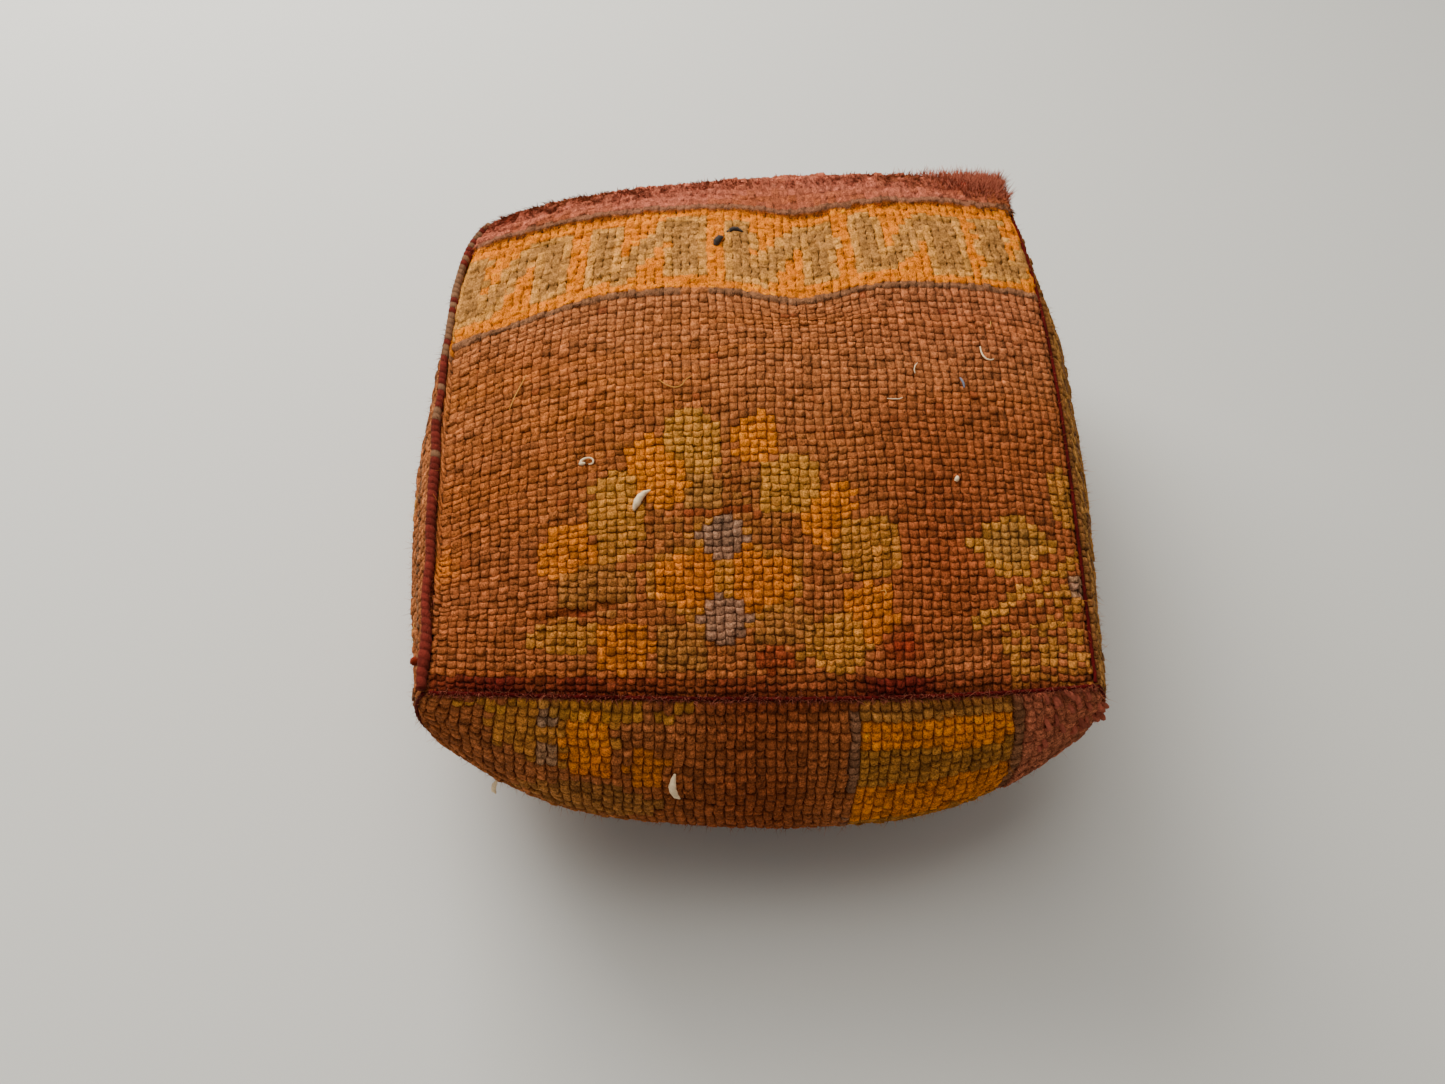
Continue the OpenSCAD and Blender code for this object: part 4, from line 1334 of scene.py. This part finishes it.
# loose bits: how each lies on its face. The path runs in millimetres along u, v and out
loosePieces = {
    "whiteTuft": {
        "face": "top", "at": (-0.385, -0.465), "thick": 0.0026, "dye": "ecru",
        "path": [(0, 0, 0), (2, 4, 1.5), (4, 8, 2.2), (7, 11.5, 2.0), (11, 14, 1.2)],
        "taper": (0.25, 1.0, 1.0, 0.7, 0.12),
    },
    "whiteCurl": {
        "face": "top", "at": (-0.545, -0.292), "thick": 0.0006, "dye": "ecru",
        "path": [
            (0, 0, 0), (1, 2, 1), (4, 3.2, 1.4), (7.5, 2.6, 1.5),
            (9, 0, 1.2), (7.5, -2, 1.0), (5.5, -1.6, 0.8),
        ],
        "taper": (1.6, 1.6, 1, 1, 1, 1, 0.6),
    },
    "curlKnot": {
        "face": "top", "at": (-0.548, -0.295), "thick": 0.0016, "dye": "ecru",
        "path": [(0, 0, 0.4), (2, -0.3, 1.0), (4, 0.2, 0.8)], "taper": (0.5, 1.0, 0.4),
    },
    "whiteDot": {
        "face": "top", "at": (0.600, -0.388), "thick": 0.0017, "dye": "ecru",
        "path": [(0, -1, 0.2), (0.6, 0, 1.2), (1.0, 1.6, 1.0), (1.2, 3, 0.6)], "taper": (0.7, 1.0, 0.8, 0.2),
    },
    "bentThread": {
        "face": "top", "at": (0.735, 0.115), "thick": 0.00055, "dye": "ecru",
        "path": [
            (0, 0, 0.6), (-0.4, -5, 1.2), (0.6, -10, 1.2), (3, -13, 1.2), (6, -13.5, 1.4), (8.5, -11.5, 0.8),
        ],
        "taper": (0.8, 1, 1.2, 1.2, 1, 0.6),
    },
    "paleThreadA": {
        "face": "top", "at": (0.405, -0.104), "thick": 0.0004, "dye": "ecru",
        "path": [(0, 0, 0.6), (4, -0.8, 1.0), (8, -0.8, 1.0), (10.5, 0.8, 0.6)], "taper": (0.6, 1, 1, 0.6),
    },
    "paleThreadB": {
        "face": "top", "at": (0.515, 0.035), "thick": 0.0004, "dye": "ecru",
        "path": [(0, 0, 0.6), (-2, -3, 1.0), (-3, -7, 1.0), (-2.4, -10, 0.6)], "taper": (0.6, 1, 1, 0.6),
    },
    "paleThreadC": {
        "face": "top", "at": (-0.305, -0.012), "thick": 0.0004, "dye": "sand",
        "path": [(0, 0, 0.6), (4, -5, 1.0), (10, -9, 1.2), (15, -8, 1.2), (18, -2, 1.0), (22, 1, 0.6)],
        "taper": (0.6, 1, 1, 1, 1, 0.6),
    },
    "paleThreadD": {
        "face": "top", "at": (-0.72, 0.075), "thick": 0.0004, "dye": "sand",
        "path": [(0, 0, 0.6), (-3, -9, 1.0), (-7, -20, 1.2), (-10, -31, 0.8)], "taper": (0.6, 1, 1, 0.5),
    },
    "paleThreadE": {
        "face": "top", "at": (0.79, 0.235), "thick": 0.0004, "dye": "sand",
        "path": [(0, 0, 0.6), (-0.4, -3, 1.2), (-1.6, -7, 0.8)], "taper": (0.6, 1, 0.5),
    },
    "paleThreadF": {
        "face": "top", "at": (0.345, -0.722), "thick": 0.0004, "dye": "sand",
        "path": [(0, 0, 0.6), (2.5, 0.6, 1.2), (3.4, -1.6, 1.2), (2, -3.2, 0.8)], "taper": (0.6, 1, 1, 0.5),
    },
    "blueBit": {
        "face": "top", "at": (0.65, -0.02), "thick": 0.0009, "dye": "slate",
        "path": [(0, 0, 0.4), (0.8, -3, 1.2), (1.8, -6, 1.0), (2.0, -9, 0.6)], "taper": (0.6, 1, 1, 0.5),
    },
    "darkTuftA": {
        "face": "top", "at": (-0.115, 0.595), "thick": 0.0030, "dye": "soot",
        "path": [(-1, -2, 0), (0, 1, 1.6), (2, 4, 2.2), (5, 6, 1.6)], "taper": (0.5, 1.0, 0.9, 0.3),
    },
    "darkTuftB": {
        "face": "top", "at": (-0.065, 0.655), "thick": 0.0019, "dye": "soot",
        "path": [(-3, -1, 0.4), (1, 1.4, 1.6), (5, 1.2, 1.6), (9, -2, 1.0)], "taper": (0.5, 1.0, 0.9, 0.3),
    },
    "frontTuft": {
        "face": "front", "at": (-0.27, 0.55), "thick": 0.0024, "dye": "ecru",
        "path": [(0, 0, 0.5), (-1, -4, 2.0), (-1.5, -9, 3.0), (0.5, -14, 2.4), (3, -17, 1.2)],
        "taper": (0.3, 0.8, 1.1, 0.8, 0.15),
    },
    "redKnob": {
        "face": "left", "at": (-0.90, 0.95), "thick": 0.0030, "dye": "madder",
        "path": [(0, 0, -1), (0, 0.3, 2), (0.3, 0.8, 5), (0.5, 1, 7)], "taper": (0.8, 0.8, 1.0, 0.7),
    },
    "leftTuft": {
        "face": "front", "at": (-0.80, 0.10), "thick": 0.0017, "dye": "ecru",
        "path": [(0, 0, 0.5), (-1.5, -3, 3.5), (-2.5, -7, 6.0), (-2.0, -11, 7.0)],
        "taper": (0.4, 1.0, 1.0, 0.3),
    },
}


def layLoose(name, look):
    face = look["face"]
    u, v = (np.array([c]) for c in look["at"])
    up, (du, dv) = outward(face, u, v), tangents(face, u, v)
    base = surface(face, u, v)
    path = np.array(look["path"]) / 1000
    taper = np.interp(np.linspace(0, 1, 17), np.linspace(0, 1, len(path)), look["taper"])
    steps = np.linspace(0, 1, len(path))
    smooth = np.stack([np.interp(np.linspace(0, 1, 17), steps, path[:, axis]) for axis in range(3)], -1)
    smooth[1:-1] = (smooth[:-2] + 2 * smooth[1:-1] + smooth[2:]) / 4
    points = base + smooth[:, :1] * du + smooth[:, 1:2] * dv + smooth[:, 2:] * up
    bm = bmesh.new()
    k = addTube(bm, points, taper * look["thick"], 7, 3, 0.25, 1.5)
    piece = finishPiece(bm, name, looseWool)
    rng = np.random.default_rng(90)
    dye(piece, dyed(look["dye"]) * (1 + 0.08 * rng.standard_normal((len(k), 1))))
    loose[face].append(piece)


for name, look in loosePieces.items():
    layLoose(name, look)

cornerLoops = {"count": 26, "radius": 0.0017, "reach": 0.0050, "seed": 91}


def makeCornerLoops(look):
    # thick red loops of yarn where the front's right edge meets the top
    rng = np.random.default_rng(look["seed"])
    bm = bmesh.new()
    shades = []
    for n in range(look["count"]):
        u = np.array([rng.uniform(0.80, 0.995)])
        v = np.array([rng.uniform(0.50, 0.99)])
        up, (du, dv) = outward("front", u, v), tangents("front", u, v)
        base = surface("front", u, v) - up * 0.002
        heading = rng.uniform(-0.5, 0.5)
        along = -dv * math.cos(heading) + du * math.sin(heading)
        t = np.linspace(0, 1, 9)[:, None]
        rise = look["reach"] * rng.uniform(0.7, 1.2)
        path = base + along * t * 0.009 + up * np.sin(t * math.pi) * rise
        k = addTube(bm, path, look["radius"] * rng.uniform(0.8, 1.15), 8, 2, 0.3, 1.0)
        shades.append(np.full(len(k), 1 + 0.14 * rng.standard_normal()))
    piece = finishPiece(bm, "cornerLoops", ropeWool)
    base = mix(dyed("rose"), dyed("crimson"), 0.35)
    dye(piece, base * np.concatenate(shades)[:, None])
    loose["front"].append(piece)


makeCornerLoops(cornerLoops)
print("pouf: loose bits")

baseCloth = {"outer": (0.0, 0.0), "inner": (0.0012, 0.0012), "slot": 0.03, "tab": 0.9}
slot, tab = baseCloth["slot"], baseCloth["tab"]
tabPatches = [("base", (-1, -tab), (-slot, slot)), ("base", (tab, 1), (-slot, slot))]
halves = {
    # the node it stands for, its patches, cells each way, and its cut size
    "baseFront": ("base_front", [("base", whole, (-1, -slot))], 64, 40, (0.33, 0.194)),
    "baseRear": ("base_rear", [("base", whole, (slot, 1))], 64, 40, (0.33, 0.194)),
    "zipEndTabs": ("zip_end_tabs", tabPatches, 6, 4, (0.033, 0.012)),
}
for name, (stands, patches, columns, rows, cut) in halves.items():
    outer, inner = baseCloth["outer"], baseCloth["inner"]
    piece = layerSheet(patches, columns, rows, outer, inner, name, canvas)
    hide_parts(stands)


def boxPiece(name, stands, columns, rows, material):
    # a flat strip in a node's own box, rounded a little at its long edges
    low, high = (np.array(corner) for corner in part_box(stands))
    bm = boxGrid(columns, rows)
    grid = coordinates(bm)
    edge = 4 * grid[:, 1] * (1 - grid[:, 1])
    pinch = np.minimum(1, edge * 6) ** 0.5 * 0.5 + 0.5
    grid[:, 2] = 0.5 + (grid[:, 2] - 0.5) * pinch
    placeAll(bm.verts, low + grid * (high - low))
    piece = finishPiece(bm, name, material)
    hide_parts(stands)
    return piece


for name, stands in (("tapeFront", "zip_tape_front"), ("tapeRear", "zip_tape_rear")):
    tape = boxPiece(name, stands, 60, 10, tapeCloth)

bandFaces = ["front", "right", "back", "left"]
liners = {
    # the node it stands for, its faces, cells each way, how deep it lies, and its cut: width, height, area
    "linerTop": ("liner_top", ["top"], 32, 36, (0.011, 0.011), (0.0118, 0.0118), (0.43, 0.44, 0.178)),
    "linerBase": ("liner_base", ["base"], 32, 36, (0.011, 0.0045), (0.0118, 0.0053), (0.31, 0.38, 0.117)),
    "linerBand": ("liner_band", bandFaces, 32, 14, (0.011, 0.011), (0.0118, 0.0118), (1.69, 0.17, 0.26)),
}
for name, (stands, own, columns, rows, outer, inner, cut) in liners.items():
    patches = [(face, whole, whole) for face in own]
    piece = layerSheet(patches, columns, rows, outer, inner, name, liningCotton)
    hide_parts(stands)

wad = {"cells": 26, "side": 0.0165, "above": 0.0165, "below": 0.0105, "lump": 0.0022}


def makeFilling(look):
    bm = cubeMesh(look["cells"])
    q = coordinates(bm)
    lump = softNoise(q[:, 0] * 3 + q[:, 2] * 2 + 9, q[:, 1] * 3 + q[:, 2] + 9, 95)
    side = look["side"] + look["lump"] * lump
    depth = np.stack([side, side, np.where(q[:, 2] > 0, look["above"], look["below"])], -1)
    placeAll(bm.verts, settled(q) + inward(q) * depth)
    piece = finishPiece(bm, "fillingWad", wadding)
    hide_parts("filling")


makeFilling(wad)
finishes = {
    "zip_coil_front": coilPlastic, "zip_coil_rear": coilPlastic, "zip_top_stops": brass,
    "zip_bottom_stop": brass, "zip_slider": brass, "zip_pull": brass,
}
for name, material in finishes.items():
    for place in bpy.data.objects[name].material_slots:
        place.material = material

hems = {"stitch": 0.0042, "gap": 0.0018, "radius": 0.00045, "rise": 0.0002}


def stitchRow(bm, face, ends, look):
    t = np.linspace(0, 1, 200)
    (u0, v0), (u1, v1) = ends
    u, v = mix(u0, u1, t), mix(v0, v1, t)
    path = surface(face, u, v) + outward(face, u, v) * look["rise"]
    run = np.concatenate([[0], np.cumsum(np.linalg.norm(np.diff(path, axis=0), axis=1))])
    start = 0.001
    while start + look["stitch"] < run[-1]:
        at = start + np.linspace(0, 1, 5) * look["stitch"]
        points = np.stack([np.interp(at, run, path[:, axis]) for axis in range(3)], -1)
        addTube(bm, points, look["radius"] * np.array([0.35, 0.9, 1.0, 0.9, 0.35]), 5)
        start += look["stitch"] + look["gap"]


def makeHems(look):
    bm = bmesh.new()
    for v in (-0.075, -0.042, 0.042, 0.075):
        stitchRow(bm, "base", ((-0.90, v), (0.90, v)), look)
    for u in (-0.90, 0.90):
        stitchRow(bm, "base", ((u, -0.075), (u, 0.075)), look)
    for n in (-0.955, 0.955):
        stitchRow(bm, "base", ((n, -0.955), (n, 0.955)), look)
        stitchRow(bm, "base", ((-0.955, n), (0.955, n)), look)
    return finishPiece(bm, "hemStitches", stitching)


makeHems(hems)
print("pouf: underside, zip, liner and filling")
